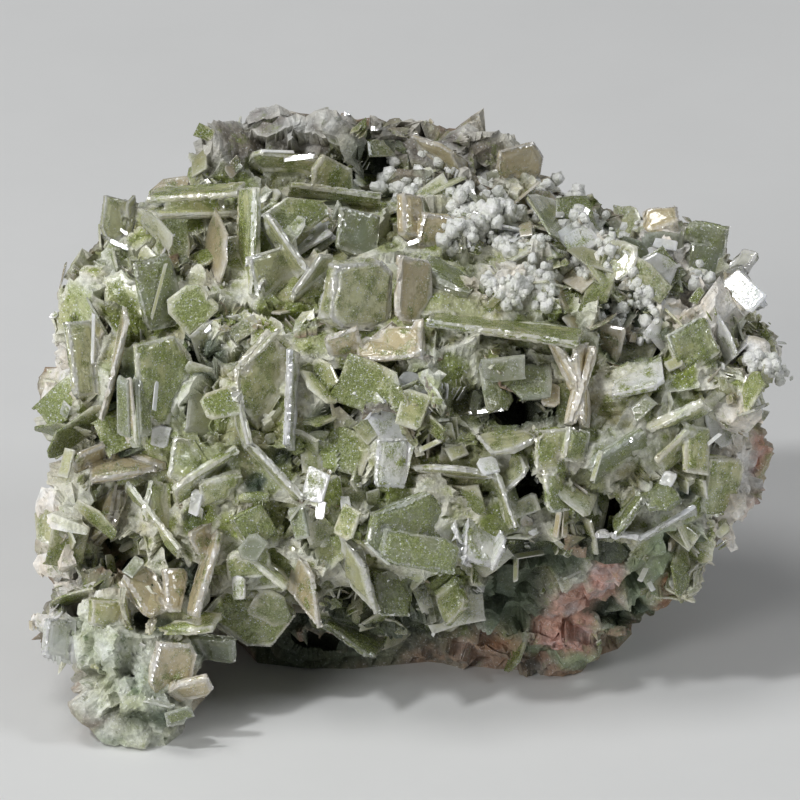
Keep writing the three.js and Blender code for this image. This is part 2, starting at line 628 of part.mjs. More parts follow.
// A crystal group stands where the line of sight meets the rock, then is pushed back until it is rooted
function rootedGroup(rock, find, rows) {
  const places = [0.1, 0.3, 0.5, 0.7, 0.9];
  const hits = rows.flatMap(([x1, y1, x2, y2]) => (
    places.map((t) => find(show, x1 + (x2 - x1) * t, y1 + (y2 - y1) * t))
  ));
  const met = hits.filter((out) => out !== null);
  let out = Math.max(...met) + 1;
  const tablets = rows.map((row) => tabletIn(show, row));
  const whole = (grown) => joined(tablets.map((build) => build(out, grown)));
  let group = whole(0);
  const flat = rows.filter(([, , , , width, shown]) => Math.abs(shown) > 0.7 * width).length;
  const share = THREE.MathUtils.lerp(ROOTED, ROOTED_FLAT, flat / rows.length);
  const enough = share * volumeOf(group);
  for (let tries = 0; tries < 40 && volumeOf(group.intersect(rock)) < enough; tries += 1) {
    out -= STEP_BACK;
    group = whole(0);
  }
  return { group, larger: whole(GAP) };
}

// The whole specimen
const rock = buildRock(0);
const rockWithGap = buildRock(GAP);
const findRock = surfaceFinder(rock);
let taken = rockWithGap;
const pieces = [];
for (const [name, rows] of Object.entries(CRYSTALS)) {
  const { group, larger } = rootedGroup(rock, findRock, rows);
  pieces.push({ name, solid: largestBody(group.subtract(taken)) });
  taken = taken.add(larger);
}

// What is fused to the crust stands only where the crystal groups leave room for it
const groups = joined(pieces.map(({ solid }) => solid));
const crust = [...beadsOn(findRock), ...smallCrystalsOn(findRock)]
  .filter((solid) => volumeOf(solid.intersect(groups)) === 0);
const matrix = largestBody(joined([rock, ...crust]).subtract(solidOf(ground)));

const specimen = new THREE.Group();
function addPiece(name, solid, look) {
  const material = new THREE.MeshStandardMaterial({ ...look, metalness: 0 });
  const mesh = new THREE.Mesh(geometryOf(solid), material);
  mesh.name = name;
  specimen.add(mesh);
}
addPiece('matrix_rock', matrix, ROCK_LOOK);
pieces.forEach(({ name, solid }) => {
  const [look] = CRYSTAL_LOOKS.find(([, names]) => names.includes(name)) ?? [PALE_LOOK];
  addPiece(`wulfenite_${name}`, solid, look);
});

// The origin is under the middle of the specimen, on the surface that it rests on
const box = new THREE.Box3().setFromObject(specimen);
const middle = box.getCenter(new THREE.Vector3());
specimen.position.set(-middle.x, -middle.y, -box.min.z);

const part = new THREE.Group();
part.add(specimen);
part.updateMatrixWorld(true);
export default part;
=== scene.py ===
# %% [markdown]
# # A wulfenite specimen crusted with duftite
# The real piece is a loose lump of rock, about 60 mm wide, on which thin tablets of wulfenite stand at every
# angle. A green mineral, duftite, has dusted most of them with sparkling grains and left their rims pale.
# The solids of the rock and of the larger crystals come packed as a fixed frame. This lesson dresses them: it
# refines their surfaces, grows thousands of smaller crystals and crumbs between them, and gives every surface
# a procedural finish. All shapes are worked out in millimetres and turned into metres when a mesh is made.

# %% The frame
import json

import bmesh
import bpy
import numpy as np
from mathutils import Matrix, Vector
from mathutils.bvhtree import BVHTree


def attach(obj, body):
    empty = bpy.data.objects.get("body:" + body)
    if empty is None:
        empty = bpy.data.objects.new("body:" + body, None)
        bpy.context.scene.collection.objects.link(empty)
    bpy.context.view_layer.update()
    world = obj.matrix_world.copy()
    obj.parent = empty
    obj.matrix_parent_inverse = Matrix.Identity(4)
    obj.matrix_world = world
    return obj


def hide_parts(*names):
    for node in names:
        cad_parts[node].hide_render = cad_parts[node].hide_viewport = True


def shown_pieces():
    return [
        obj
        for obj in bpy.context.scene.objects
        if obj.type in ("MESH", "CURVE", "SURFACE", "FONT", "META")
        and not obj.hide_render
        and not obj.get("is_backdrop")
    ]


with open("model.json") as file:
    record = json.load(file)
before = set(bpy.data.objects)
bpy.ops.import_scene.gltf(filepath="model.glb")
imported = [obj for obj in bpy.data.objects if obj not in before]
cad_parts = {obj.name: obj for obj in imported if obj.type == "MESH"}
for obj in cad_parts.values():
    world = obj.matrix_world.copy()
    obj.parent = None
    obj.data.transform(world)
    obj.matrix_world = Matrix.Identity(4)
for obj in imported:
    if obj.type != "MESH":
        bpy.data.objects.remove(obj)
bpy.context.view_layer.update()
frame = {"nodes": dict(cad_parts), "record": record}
MM = 0.001
print("nodes in the frame:", len(frame["nodes"]))

# %% [markdown]
# ## Finding places on the show face
# The photograph looks at the specimen from the front and 28 degrees above the floor. A place in that view is
# given as millimetres across and up from the middle of the picture. Three directions tie it to the frame:
# across, up, and straight out toward the viewer. Those names are used in all that follows.

# %% Directions of the show view
SHOW_TILT = np.radians(28.0)
ACROSS = np.array([1.0, 0.0, 0.0])
UP = np.array([0.0, np.sin(SHOW_TILT), np.cos(SHOW_TILT)])
OUT = np.array([0.0, -np.cos(SHOW_TILT), np.sin(SHOW_TILT)])
FACE_MIDDLE = np.array([-0.275, 0.745, 21.6])


def show_place(points):
    """Across, up and out of each point: its offset from the middle of the face along the three directions."""
    offset = points - FACE_MIDDLE
    return offset @ ACROSS, offset @ UP, offset @ OUT


# %% [markdown]
# ## Camera
# A long lens far away keeps the view almost parallel, as in a picture of a small mineral. The frame of the
# picture is 64 mm wide at the specimen.

# %% Camera
VIEW_WIDTH = 64.0
VIEW_DISTANCE = 1200.0
SENSOR_WIDTH = 36.0


def place_facing(name, data, location, direction):
    """An object for a camera or a lamp, at a place and turned to look along a direction."""
    thing = bpy.data.objects.new(name, data)
    thing.location = location
    thing.rotation_mode = "QUATERNION"
    thing.rotation_quaternion = Vector(direction).to_track_quat("-Z", "Y")
    bpy.context.collection.objects.link(thing)
    return thing


camera_data = bpy.data.cameras.new("camera")
camera_data.sensor_width = SENSOR_WIDTH
camera_data.lens = SENSOR_WIDTH * VIEW_DISTANCE / VIEW_WIDTH
camera_data.clip_start = 0.1
camera_data.clip_end = 20.0
bpy.context.scene.camera = place_facing(
    "camera", camera_data, Vector((FACE_MIDDLE + OUT * VIEW_DISTANCE) * MM), -OUT)
print("lens", round(camera_data.lens), "mm")

# %% [markdown]
# ## Noise that whole arrays can use
# Natural surfaces are never even. One table of random numbers, read through a smooth blend, gives a noise
# that numpy can evaluate at every vertex at once, and that comes out the same each time.

# %% Lattice noise
NOISE_CELLS = 32
NOISE_TABLE = np.random.default_rng(11).random((NOISE_CELLS,) * 3)


def lattice_noise(points, size, shift=0.0):
    """Noise from -1 to 1: random values on a cubic lattice of the given size, blended between the eight
    corners round each point with the weight 3t^2 - 2t^3 along each axis."""
    place = points / size + shift
    cell = np.floor(place).astype(int)
    part = place - cell
    weight = part * part * (3 - 2 * part)
    total = np.zeros(len(points))
    for corner in np.ndindex(2, 2, 2):
        reach = np.prod(np.where(corner, weight, 1 - weight), axis=1)
        x, y, z = ((cell + corner) % NOISE_CELLS).T
        total += reach * NOISE_TABLE[x, y, z]
    return 2 * total - 1


def step_between(low, high, value):
    """0 below low, 1 above high, and an S-shaped rise between them."""
    part = np.clip((value - low) / (high - low), 0, 1)
    return part * part * (3 - 2 * part)


# %% [markdown]
# ## Working on copies of the solids
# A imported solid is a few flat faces. To roughen them, a merged copy is split into small triangles. Splitting
# every long edge at its middle, over and over, keeps the flat faces flat and their borders straight.

# %% Merged copies
SHARP_ANGLE = 0.45  # in radians: an outer edge that turns more than this counts as sharp


def flat_copy(node):
    """A node's solid as points in millimetres, triangles, and its sharp outer edges as pairs of ends."""
    solid = bmesh.new()
    solid.from_mesh(frame["nodes"][node].data)
    bmesh.ops.remove_doubles(solid, verts=solid.verts, dist=1e-6)
    bmesh.ops.dissolve_limit(solid, angle_limit=0.01, verts=solid.verts, edges=solid.edges)
    bmesh.ops.triangulate(solid, faces=solid.faces, quad_method="BEAUTY", ngon_method="BEAUTY")
    sharp = [e for e in solid.edges if len(e.link_faces) == 2 and e.calc_face_angle_signed() > SHARP_ANGLE]
    edges = np.array([[v.co for v in e.verts] for e in sharp]) / MM
    points = np.array([v.co for v in solid.verts]) / MM
    faces = np.array([[v.index for v in f.verts] for f in solid.faces])
    solid.free()
    return points, faces, edges


# %% Refining
MOST_ROUNDS = 12
FAR = 9.0  # further than any distance that matters


def refine(points, faces, longest):
    """Splits each edge longer than a length at its middle until none is left. The length is a number or a
    function of the middle. A triangle with one, two or three split edges becomes two, three or four."""
    for _ in range(MOST_ROUNDS):
        sides = faces[:, [0, 1, 1, 2, 2, 0]].reshape(-1, 2)
        edges, which = np.unique(np.sort(sides, axis=1), axis=0, return_inverse=True)
        ends = points[edges]
        limit = longest(ends.mean(axis=1)) if callable(longest) else longest
        long = np.linalg.norm(ends[:, 0] - ends[:, 1], axis=1) > limit
        if not long.any():
            break
        middle = np.full(len(edges), -1)
        middle[long] = len(points) + np.arange(long.sum())
        points = np.vstack([points, ends[long].mean(axis=1)])
        split = middle[which.reshape(-1, 3)]
        count = (split >= 0).sum(axis=1)
        # each triangle is turned so that its split edges come first
        turn = np.zeros(len(faces), int)
        turn[count == 1] = np.argmax(split[count == 1] >= 0, axis=1)
        turn[count == 2] = (np.argmax(split[count == 2] < 0, axis=1) + 1) % 3
        order = (np.arange(3) + turn[:, None]) % 3
        f = np.take_along_axis(faces, order, axis=1)
        s = np.take_along_axis(split, order, axis=1)
        one, two, three = (count == n for n in (1, 2, 3))
        pieces = [f[count == 0]]
        pieces += [np.column_stack(c) for c in (
            (f[one, 0], s[one, 0], f[one, 2]), (s[one, 0], f[one, 1], f[one, 2]),
            (s[two, 0], f[two, 1], s[two, 1]), (f[two, 0], s[two, 0], s[two, 1]),
            (f[two, 0], s[two, 1], f[two, 2]),
            (f[three, 0], s[three, 0], s[three, 2]), (s[three, 0], f[three, 1], s[three, 1]),
            (s[three, 2], s[three, 1], f[three, 2]), (s[three, 0], s[three, 1], s[three, 2]))]
        faces = np.vstack(pieces)
    return points, faces


def unit(vectors):
    """The same directions with a length of one."""
    return vectors / np.maximum(np.linalg.norm(vectors, axis=1, keepdims=True), 1e-9)


def cross_products(points, faces):
    """The first corner of each triangle and the cross product of its sides there, which points out of the
    surface and is twice the triangle's area long."""
    a, b, c = points[faces].transpose(1, 0, 2)
    return a, np.cross(b - a, c - a)


def outward(points, faces):
    """The direction out of the surface at each point: the sum of its triangles' cross products."""
    _, across = cross_products(points, faces)
    total = np.zeros_like(points)
    for corner in range(3):
        np.add.at(total, faces[:, corner], across)
    return unit(total)


def distance_to_edges(points, edges):
    """How far each point is from the nearest of some straight edges."""
    nearest = np.full(len(points), FAR)
    for start, end in edges:
        along = end - start
        part = np.clip((points - start) @ along / max(along @ along, 1e-9), 0, 1)
        nearest = np.minimum(nearest, np.linalg.norm(points - start - part[:, None] * along, axis=1))
    return nearest


# %% Putting arrays into meshes
def make_piece(name, points, faces, material, slot, smooth=False, **values):
    """A mesh object from points in millimetres and triangles, with its named values for each point."""
    mesh = bpy.data.meshes.new(name)
    mesh.vertices.add(len(points))
    mesh.vertices.foreach_set("co", (points * MM).astype(np.float32).ravel())
    mesh.loops.add(faces.size)
    mesh.loops.foreach_set("vertex_index", faces.astype(np.int32).ravel())
    mesh.polygons.add(len(faces))
    mesh.polygons.foreach_set("loop_start", np.arange(0, faces.size, 3, dtype=np.int32))
    mesh.polygons.foreach_set("use_smooth", np.full(len(faces), smooth))
    mesh.update(calc_edges=True)
    for label, value in values.items():
        attribute = mesh.attributes.new(label, "FLOAT", "POINT")
        attribute.data.foreach_set("value", np.broadcast_to(value, len(points)).astype(np.float32))
    mesh.materials.append(material)
    piece = bpy.data.objects.new(name, mesh)
    bpy.context.collection.objects.link(piece)
    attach(piece, "root")
    return piece


# %% [markdown]
# ## Finishes
# Three effects are needed on nearly every surface. Uneven colour drifts between a darker and a lighter tone.
# Duftite grains are tiny facets that each catch the light at their own angle: cells of random tilt imitate
# them, and a few grains are painted white as highlights. Growth lines follow the edges of a tablet. Each is a
# shader group, so that every material can use it with its own values.

# %% Node helpers
def add_node(tree, kind, **settings):
    """A node with its properties set; a key that names an input sets that input's value."""
    node = tree.nodes.new(kind)
    for key, value in settings.items():
        if key in node.inputs:
            node.inputs[key].default_value = value
        else:
            setattr(node, key, value)
    return node


def plug(tree, socket, value):
    """Links an output to an input, or sets the input to a plain number, colour or vector."""
    if isinstance(value, bpy.types.NodeSocket):
        tree.links.new(value, socket)
    else:
        socket.default_value = (*value, 1.0) if socket.type == "RGBA" else value


def number(tree, operation, first, second, clamp=False):
    """A Math node of two values, each a socket or a number."""
    node = add_node(tree, "ShaderNodeMath", operation=operation, use_clamp=clamp)
    for socket, value in zip(node.inputs, (first, second)):
        plug(tree, socket, value)
    return node.outputs[0]


def product(tree, first, second, clamp=False):
    """Two values multiplied."""
    return number(tree, "MULTIPLY", first, second, clamp)


def vector(tree, operation, first, second=None):
    """A Vector Math node of one or two vectors; SCALE takes a plain factor as its second."""
    node = add_node(tree, "ShaderNodeVectorMath", operation=operation)
    plug(tree, node.inputs[0], first)
    if second is not None:
        plug(tree, node.inputs["Scale" if operation == "SCALE" else 1], second)
    return node.outputs[0]


def blend(tree, amount, low, high):
    """A colour between two others; each may be a socket or a plain colour."""
    node = add_node(tree, "ShaderNodeMix", data_type="RGBA")
    for socket, value in ((node.inputs[0], amount), (node.inputs[6], low), (node.inputs[7], high)):
        plug(tree, socket, value)
    return node.outputs[2]


def spread(tree, value, low, high, to_low=0.0, to_high=1.0):
    """Stretches a value from one range to another, and holds it at the ends."""
    node = add_node(tree, "ShaderNodeMapRange")
    for socket, part in zip(node.inputs, (value, low, high, to_low, to_high)):
        plug(tree, socket, part)
    return node.outputs[0]


def fade(tree, value, at_zero, at_one):
    """A value that goes from one number to another while the first goes from 0 to 1."""
    return spread(tree, value, 0.0, 1.0, at_zero, at_one)


def brightened(tree, colour, factor):
    """A colour made lighter or darker by a factor."""
    node = add_node(tree, "ShaderNodeHueSaturation")
    plug(tree, node.inputs["Color"], colour)
    plug(tree, node.inputs["Value"], factor)
    return node.outputs[0]


# %% Patterns in millimetres
NOISE_RANGE = (0.33, 0.67)  # where nearly all values of the soft noise lie


def in_millimetres(tree, pattern, size):
    """Makes a pattern follow the piece, with cells or patches of about the given size."""
    place = add_node(tree, "ShaderNodeTexCoord")
    plug(tree, pattern.inputs["Vector"], place.outputs["Object"])
    plug(tree, pattern.inputs["Scale"], number(tree, "DIVIDE", 1 / MM, size))
    return pattern


def cloudy(tree, size, detail):
    """Soft noise from 0 to 1 whose patches are about the given number of millimetres wide."""
    noise = in_millimetres(tree, add_node(tree, "ShaderNodeTexNoise", Detail=detail, Roughness=0.6), size)
    return spread(tree, noise.outputs[0], *NOISE_RANGE)


def new_group(name, inputs, outputs):
    """A shader group with named sockets: each is a name, a kind and, for an input, its usual value."""
    tree = bpy.data.node_groups.new(name, "ShaderNodeTree")
    for label, kind, value in inputs:
        socket = tree.interface.new_socket(label, in_out="INPUT", socket_type=f"NodeSocket{kind}")
        socket.default_value = value
    for label, kind in outputs:
        tree.interface.new_socket(label, in_out="OUTPUT", socket_type=f"NodeSocket{kind}")
    return tree, tree.nodes.new("NodeGroupInput").outputs, tree.nodes.new("NodeGroupOutput").inputs


# %% The mottling group
def make_mottle_group():
    """Uneven colour: one soft noise, as a value from 0 to 1, that drifts a colour between a darker and a
    lighter tone of itself."""
    tree, given, result = new_group(
        "mottled_tone",
        [("Color", "Color", (0.5, 0.5, 0.5, 1)), ("Amount", "Float", 0.3), ("Size", "Float", 1.5)],
        [("Color", "Color"), ("Tone", "Float")])
    tone = cloudy(tree, given["Size"], 5.0)
    low = number(tree, "SUBTRACT", 1.0, given["Amount"])
    high = number(tree, "ADD", 1.0, given["Amount"])
    plug(tree, result["Color"], vector(tree, "SCALE", given["Color"], fade(tree, tone, low, high)))
    plug(tree, result["Tone"], tone)
    return tree


mottle_group = make_mottle_group()

# %% The druse group
DUFTITE_DEEP = (0.15, 0.19, 0.022)
DUFTITE_PALE = (0.36, 0.42, 0.085)
DUFTITE_GREY = (0.33, 0.39, 0.19)
MILKY = (0.80, 0.84, 0.84)
WARM = (0.62, 0.52, 0.33)
# the colour of the few grains painted white as highlights
PAINTED_GLINT = (0.95, 0.97, 1.0)
PATCH_SIZE, DRIFT_SIZE = 1.1, 4.2


def make_druse_group():
    """Sugary druse: every cell of a Voronoi pattern is a grain. A grain is duftite where the cover at its
    place, a soft noise and its own random number together pass a threshold, and bare body otherwise; the body
    drifts toward milky and warm tones over a few millimetres. Each grain of duftite tilts the surface normal
    its own way, and a few grains are painted white as highlights that stand for sparkle."""
    tree, given, result = new_group(
        "duftite_druse",
        [("Body", "Color", (0.5, 0.5, 0.5, 1)), ("Cover", "Float", 0.5), ("Drift", "Float", 0.4),
         ("Size", "Float", 0.085), ("Tilt", "Float", 0.8)],
        [("Color", "Color"), ("Grain", "Float"), ("Green", "Float"), ("Normal", "Vector")])
    cells = in_millimetres(tree, add_node(tree, "ShaderNodeTexVoronoi"), given["Size"])
    random = add_node(tree, "ShaderNodeSeparateColor")
    plug(tree, random.inputs[0], cells.outputs["Color"])
    first, second, third = random.outputs[:3]
    patch, wide = cloudy(tree, PATCH_SIZE, 5.0), cloudy(tree, DRIFT_SIZE, 2.0)
    # the body, and the duftite over it
    milky = product(tree, given["Drift"], product(tree, wide, patch))
    warm = product(tree, given["Drift"], number(tree, "SUBTRACT", 1.0, wide))
    body = blend(tree, warm, blend(tree, milky, given["Body"], MILKY), WARM)
    grain = blend(tree, first, DUFTITE_DEEP, DUFTITE_PALE)
    green = blend(tree, 0.65, blend(tree, wide, grain, DUFTITE_GREY), grain)
    # where the patches of duftite are: the cover against a noise, with single grains strewn past the border
    reach = number(tree, "ADD", given["Cover"], product(tree, patch, 0.7))
    grown = spread(tree, number(tree, "SUBTRACT", reach, product(tree, third, 0.3)), 0.46, 0.92)
    # painted highlights: a few grains, most of all where duftite covers, are painted white
    painted_glints = product(tree, spread(tree, second, 0.94, 0.98), spread(tree, given["Cover"], 0.0, 0.5, 0.4))
    plug(tree, result["Color"], blend(tree, painted_glints, blend(tree, grown, body, green), PAINTED_GLINT))
    plug(tree, result["Grain"], first)
    plug(tree, result["Green"], grown)
    # each grain's random colour, less the middle, is the way it leans
    lean = vector(tree, "SUBTRACT", cells.outputs["Color"], (0.5, 0.5, 0.5))
    lean = vector(tree, "SCALE", lean, product(tree, given["Tilt"], fade(tree, grown, 0.12, 1.0)))
    surface = add_node(tree, "ShaderNodeNewGeometry")
    tilted = vector(tree, "ADD", surface.outputs["Normal"], lean)
    plug(tree, result["Normal"], vector(tree, "NORMALIZE", tilted))
    return tree


druse_group = make_druse_group()


# %% The growth-line group
def make_lines_group():
    """Growth lines: noise along one number, the distance from the edge of the tablet, so that the light and
    dark lines run parallel to the outline."""
    tree, given, result = new_group(
        "growth_lines", [("Inset", "Float", 0.0), ("Each", "Float", 0.0)], [("Line", "Float")])
    noise = add_node(tree, "ShaderNodeTexNoise", noise_dimensions="1D", Scale=2.6, Detail=2.0)
    # the second number, far apart for each tablet, gives it lines of its own
    plug(tree, noise.inputs["W"], number(tree, "ADD", given["Inset"], product(tree, given["Each"], 37.0)))
    plug(tree, result["Line"], spread(tree, noise.outputs[0], 0.35, 0.65))
    return tree


lines_group = make_lines_group()


# %% Parts that every material uses
def start_material(name, constants=None):
    """A material whose Principled shader has some inputs set to plain values; gives the material, its tree
    and that shader."""
    material = bpy.data.materials.new(name)
    material.use_nodes = True
    shader = material.node_tree.nodes["Principled BSDF"]
    for label, value in (constants or {}).items():
        shader.inputs[label].default_value = value
    return material, material.node_tree, shader


def group_in(tree, group, **values):
    """Places a shader group in a material and fills its named inputs."""
    node = tree.nodes.new("ShaderNodeGroup")
    node.node_tree = group
    for label, value in values.items():
        plug(tree, node.inputs[label], value)
    return node


def point_value(tree, label):
    """The output that reads one of a mesh's own values."""
    return add_node(tree, "ShaderNodeAttribute", attribute_name=label).outputs["Fac"]


def mottled(tree, size):
    """The tone of a mottling of the given size, from 0 to 1."""
    return group_in(tree, mottle_group, Size=size).outputs["Tone"]


def roughen(tree, shader, height, normal, strength, distance):
    """Gives the shader a bump of a height, on top of the tilt of the grains."""
    bump = add_node(tree, "ShaderNodeBump", Strength=strength, Distance=distance)
    plug(tree, bump.inputs["Height"], height)
    plug(tree, bump.inputs["Normal"], normal)
    plug(tree, shader.inputs["Normal"], bump.outputs[0])


# %% [markdown]
# ## The crystal finish
# Wulfenite is clear to honey-beige with a strong, almost diamond-like gloss. Where duftite coats it, the face
# turns yellow-green and grainy. One recipe makes all the crystal materials: a body colour, duftite where the
# point value "coat" is high, a pale rim where "rim" is high, partly a painted highlight along the edges, and
# growth lines set by "inset". The share of light that passes through stays one plain number for each material.

# %% The crystal material
def crystal_material(name, body, edge, clear, gloss, glow, drift, bend):
    """Body and edge are colours, the edge a pale rim that is partly a painted highlight; clear is the share of
    light let through, gloss the roughness of a clean face, glow the share that scatters inside, drift how far
    the body's colour wanders, and bend the refraction."""
    material, tree, shader = start_material(name, {
        "Transmission Weight": clear, "IOR": bend, "Subsurface Weight": glow,
        "Subsurface Radius": (1.0, 1.0, 0.7), "Subsurface Scale": 0.0005,
        "Coat Weight": 0.6, "Coat Roughness": 0.04})
    coat, rim, tone, inset = (point_value(tree, label) for label in ("coat", "rim", "tone", "inset"))
    lines = group_in(tree, lines_group, Inset=inset, Each=tone).outputs["Line"]
    patches = mottled(tree, 0.4)
    # the pale rim, partly a painted edge highlight, broken up in patches
    rim_and_highlight_mask = product(tree, rim, fade(tree, patches, 0.55, 1.2), clamp=True)
    druse = group_in(tree, druse_group, Body=blend(tree, rim_and_highlight_mask, body, edge), Cover=coat, Drift=drift)
    green = druse.outputs["Green"]
    clouded = product(tree, fade(tree, lines, 0.96, 1.04), fade(tree, patches, 0.92, 1.08))
    shaded = brightened(tree, druse.outputs["Color"], product(tree, tone, clouded))
    plug(tree, shader.inputs["Base Color"], shaded)
    grainy = product(tree, green, product(tree, druse.outputs["Grain"], 0.28))
    plug(tree, shader.inputs["Roughness"], number(tree, "ADD", gloss, grainy))
    roughen(tree, shader, product(tree, patches, green), druse.outputs["Normal"], 0.5, 0.0002)
    return material


# for each look: the material's name, body, edge (a pale rim, partly a painted highlight), clear, gloss, glow,
# drift and bend
LOOKS = {
    "green": ("duftite_coated", (0.50, 0.54, 0.23), (0.92, 0.93, 0.84), 0.15, 0.08, 0.2, 0.45, 1.8),
    "dark": ("dark_green_glassy", (0.25, 0.30, 0.16), (0.68, 0.71, 0.62), 0.40, 0.05, 0.1, 0.25, 2.0),
    "beige": ("honey_beige", (0.62, 0.52, 0.30), (0.94, 0.91, 0.85), 0.25, 0.08, 0.2, 0.3, 2.0),
    "white": ("frosted_white", (0.82, 0.85, 0.82), (0.96, 0.97, 1.0), 0.15, 0.06, 0.2, 0.3, 2.0),
    "pale": ("clear_pale", (0.66, 0.67, 0.37), (0.96, 0.96, 0.93), 0.35, 0.04, 0.2, 0.2, 2.0),
}
crystal_looks = {look: crystal_material(*row) for look, row in LOOKS.items()}
# a slot name for each look of the small crystals
LOOK_SLOTS = {
    "green": "green_crusted_crystal", "dark": "dark_green_crystal", "beige": "brown_beige_crystal",
    "white": "white_crystal", "pale": "pale_crystal",
}
print("crystal materials:", len(crystal_looks))

# %% [markdown]
# ## Dressing the large crystals
# Each solid crystal group is refined to facets of a quarter of a millimetre at most. Its outer edges are worn
# slightly, faces that carry duftite are roughened into grains, and the rest is left flat and glossy. Corners
# that end near the rock are drawn a little way into it, so that the crystal grows out of it.

# %% Looks of the crystal groups
# look, how much duftite covers it (0 to 1), width of the bare rim in millimetres, and its tone
CRYSTAL_FINISH = {
    "big_dark_green": ("dark", 0.9, 0.3, 1.15),
    "pale_lens_blade": ("pale", 0.35, 0.7, 0.95),
    "brown_beige_blade": ("beige", 0.35, 0.5, 0.95),
    "large_lower_green": ("green", 0.95, 0.45, 0.95),
    "pale_rimmed": ("green", 0.8, 0.55, 1.1),
    "green_square_low": ("green", 1.0, 0.1, 0.9),
    "white_upright_block": ("white", 0.45, 0.5, 1.0),
    "green_tooth": ("green", 0.85, 0.3, 0.9),
    "dark_under_plate": ("dark", 0.8, 0.15, 0.9),
    "double_edge_plate": ("dark", 0.85, 0.3, 1.0),
    "brown_fan": ("beige", 0.2, 0.4, 0.85),
    "low_left_edge_and_plate": ("green", 0.6, 0.5, 1.15),
    "beige_triangle_and_blade": ("beige", 0.4, 0.5, 1.0),
    "grey_and_beige_low": ("beige", 0.2, 0.4, 0.95),
    "green_brown_block": ("green", 0.6, 0.4, 1.0),
    "green_white_ledge": ("green", 0.6, 0.5, 1.1),
    "hanging_grey_white": ("white", 0.15, 0.4, 0.9),
    "lobe_beige": ("beige", 0.35, 0.6, 1.05),
    "lobe_clear": ("dark", 0.3, 0.4, 1.1),
    "dark_clear_under": ("dark", 0.25, 0.3, 0.9),
    "corner_clear": ("pale", 0.15, 0.35, 0.8),
    "top_left_shelves": ("green", 0.6, 0.5, 1.05),
    "tall_edge": ("green", 0.7, 0.45, 1.1),
    "upper_left_squares": ("dark", 0.6, 0.35, 1.2),
    "growth_lines_and_blades": ("pale", 0.45, 0.5, 0.95),
    "big_translucent_block": ("pale", 0.5, 0.8, 0.95),
    "dark_clear_square": ("dark", 0.3, 0.35, 1.1),
    "sparkly_hexagon": ("green", 0.8, 0.4, 0.95),
    "top_edge": ("green", 0.5, 0.4, 0.9),
    "brown_tapered": ("beige", 0.1, 0.4, 0.95),
    "beige_block_pair": ("beige", 0.3, 0.4, 1.0),
    "smooth_beige": ("beige", 0.25, 0.5, 1.05),
    "white_edge_terrace": ("dark", 0.6, 0.5, 1.1),
    "brown_curved_top": ("beige", 0.15, 0.3, 0.9),
    "pink_top_right": ("beige", 0.15, 0.4, 1.1),
    "dark_glassy_right": ("dark", 0.4, 0.3, 1.1),
    # painted reflection: the white look and a raised tone make this plate mirror-bright
    "mirror_right": ("white", 0.0, 0.5, 1.1),
    "green_right": ("green", 0.85, 0.4, 0.95),
    "striated_left": ("pale", 0.3, 0.5, 1.0),
    "pink_edge_left": ("beige", 0.3, 0.6, 1.1),
    "large_green_left": ("green", 0.85, 0.5, 1.0),
    "olive_tilted": ("beige", 0.35, 0.4, 0.85),
    "grey_purple_and_green_edge": ("green", 0.5, 0.45, 1.05),
    "large_curved_green": ("green", 0.8, 0.55, 1.0),
    "upright_edge": ("white", 0.25, 0.6, 0.95),
    "long_pale_blades": ("pale", 0.4, 0.6, 1.0),
    "tilted_pair": ("beige", 0.35, 0.6, 1.1),
    "speckled": ("white", 0.55, 0.3, 1.0),
    "long_ledge_and_curtain": ("green", 0.8, 0.35, 0.9),
    "pale_hexagon": ("pale", 0.45, 0.5, 0.9),
    "splayed_bundle": ("beige", 0.1, 0.6, 1.2),
    "green_block": ("green", 0.8, 0.45, 1.0),
    "white_drusy": ("white", 0.45, 0.3, 1.05),
    "two_section_tablet": ("dark", 0.35, 0.45, 1.2),
    "ridge_right": ("green", 0.6, 0.55, 1.05),
    "jagged_dark_green": ("dark", 0.85, 0.25, 1.0),
    "long_thin_edges": ("white", 0.35, 0.5, 1.0),
    "mottled_right": ("green", 0.7, 0.4, 1.1),
}

# %% Roughening one crystal group
FACET = 0.24
ROOT_REACH, ROOT_DEPTH = 0.55, 0.55
rock_points, rock_faces, _ = flat_copy("matrix_rock")
rock_tree = BVHTree.FromPolygons(rock_points.tolist(), rock_faces.tolist())


def rooted(points):
    """Moves the few corners that end near the rock toward its nearest surface and a little way in."""
    moved = points.copy()
    for i, point in enumerate(points):
        near, _, _, gap = rock_tree.find_nearest(point.tolist())
        if 1e-6 < gap < ROOT_REACH:
            moved[i] += (np.array(near) - point) / gap * ROOT_DEPTH
    return moved


def plate_thickness(points, faces):
    """The usual thickness of thin plates: twice the volume over the surface."""
    first, across = cross_products(points, faces)
    volume = np.einsum("ij,ij->", first, across) / 6
    return 4 * volume / np.linalg.norm(across, axis=1).sum()


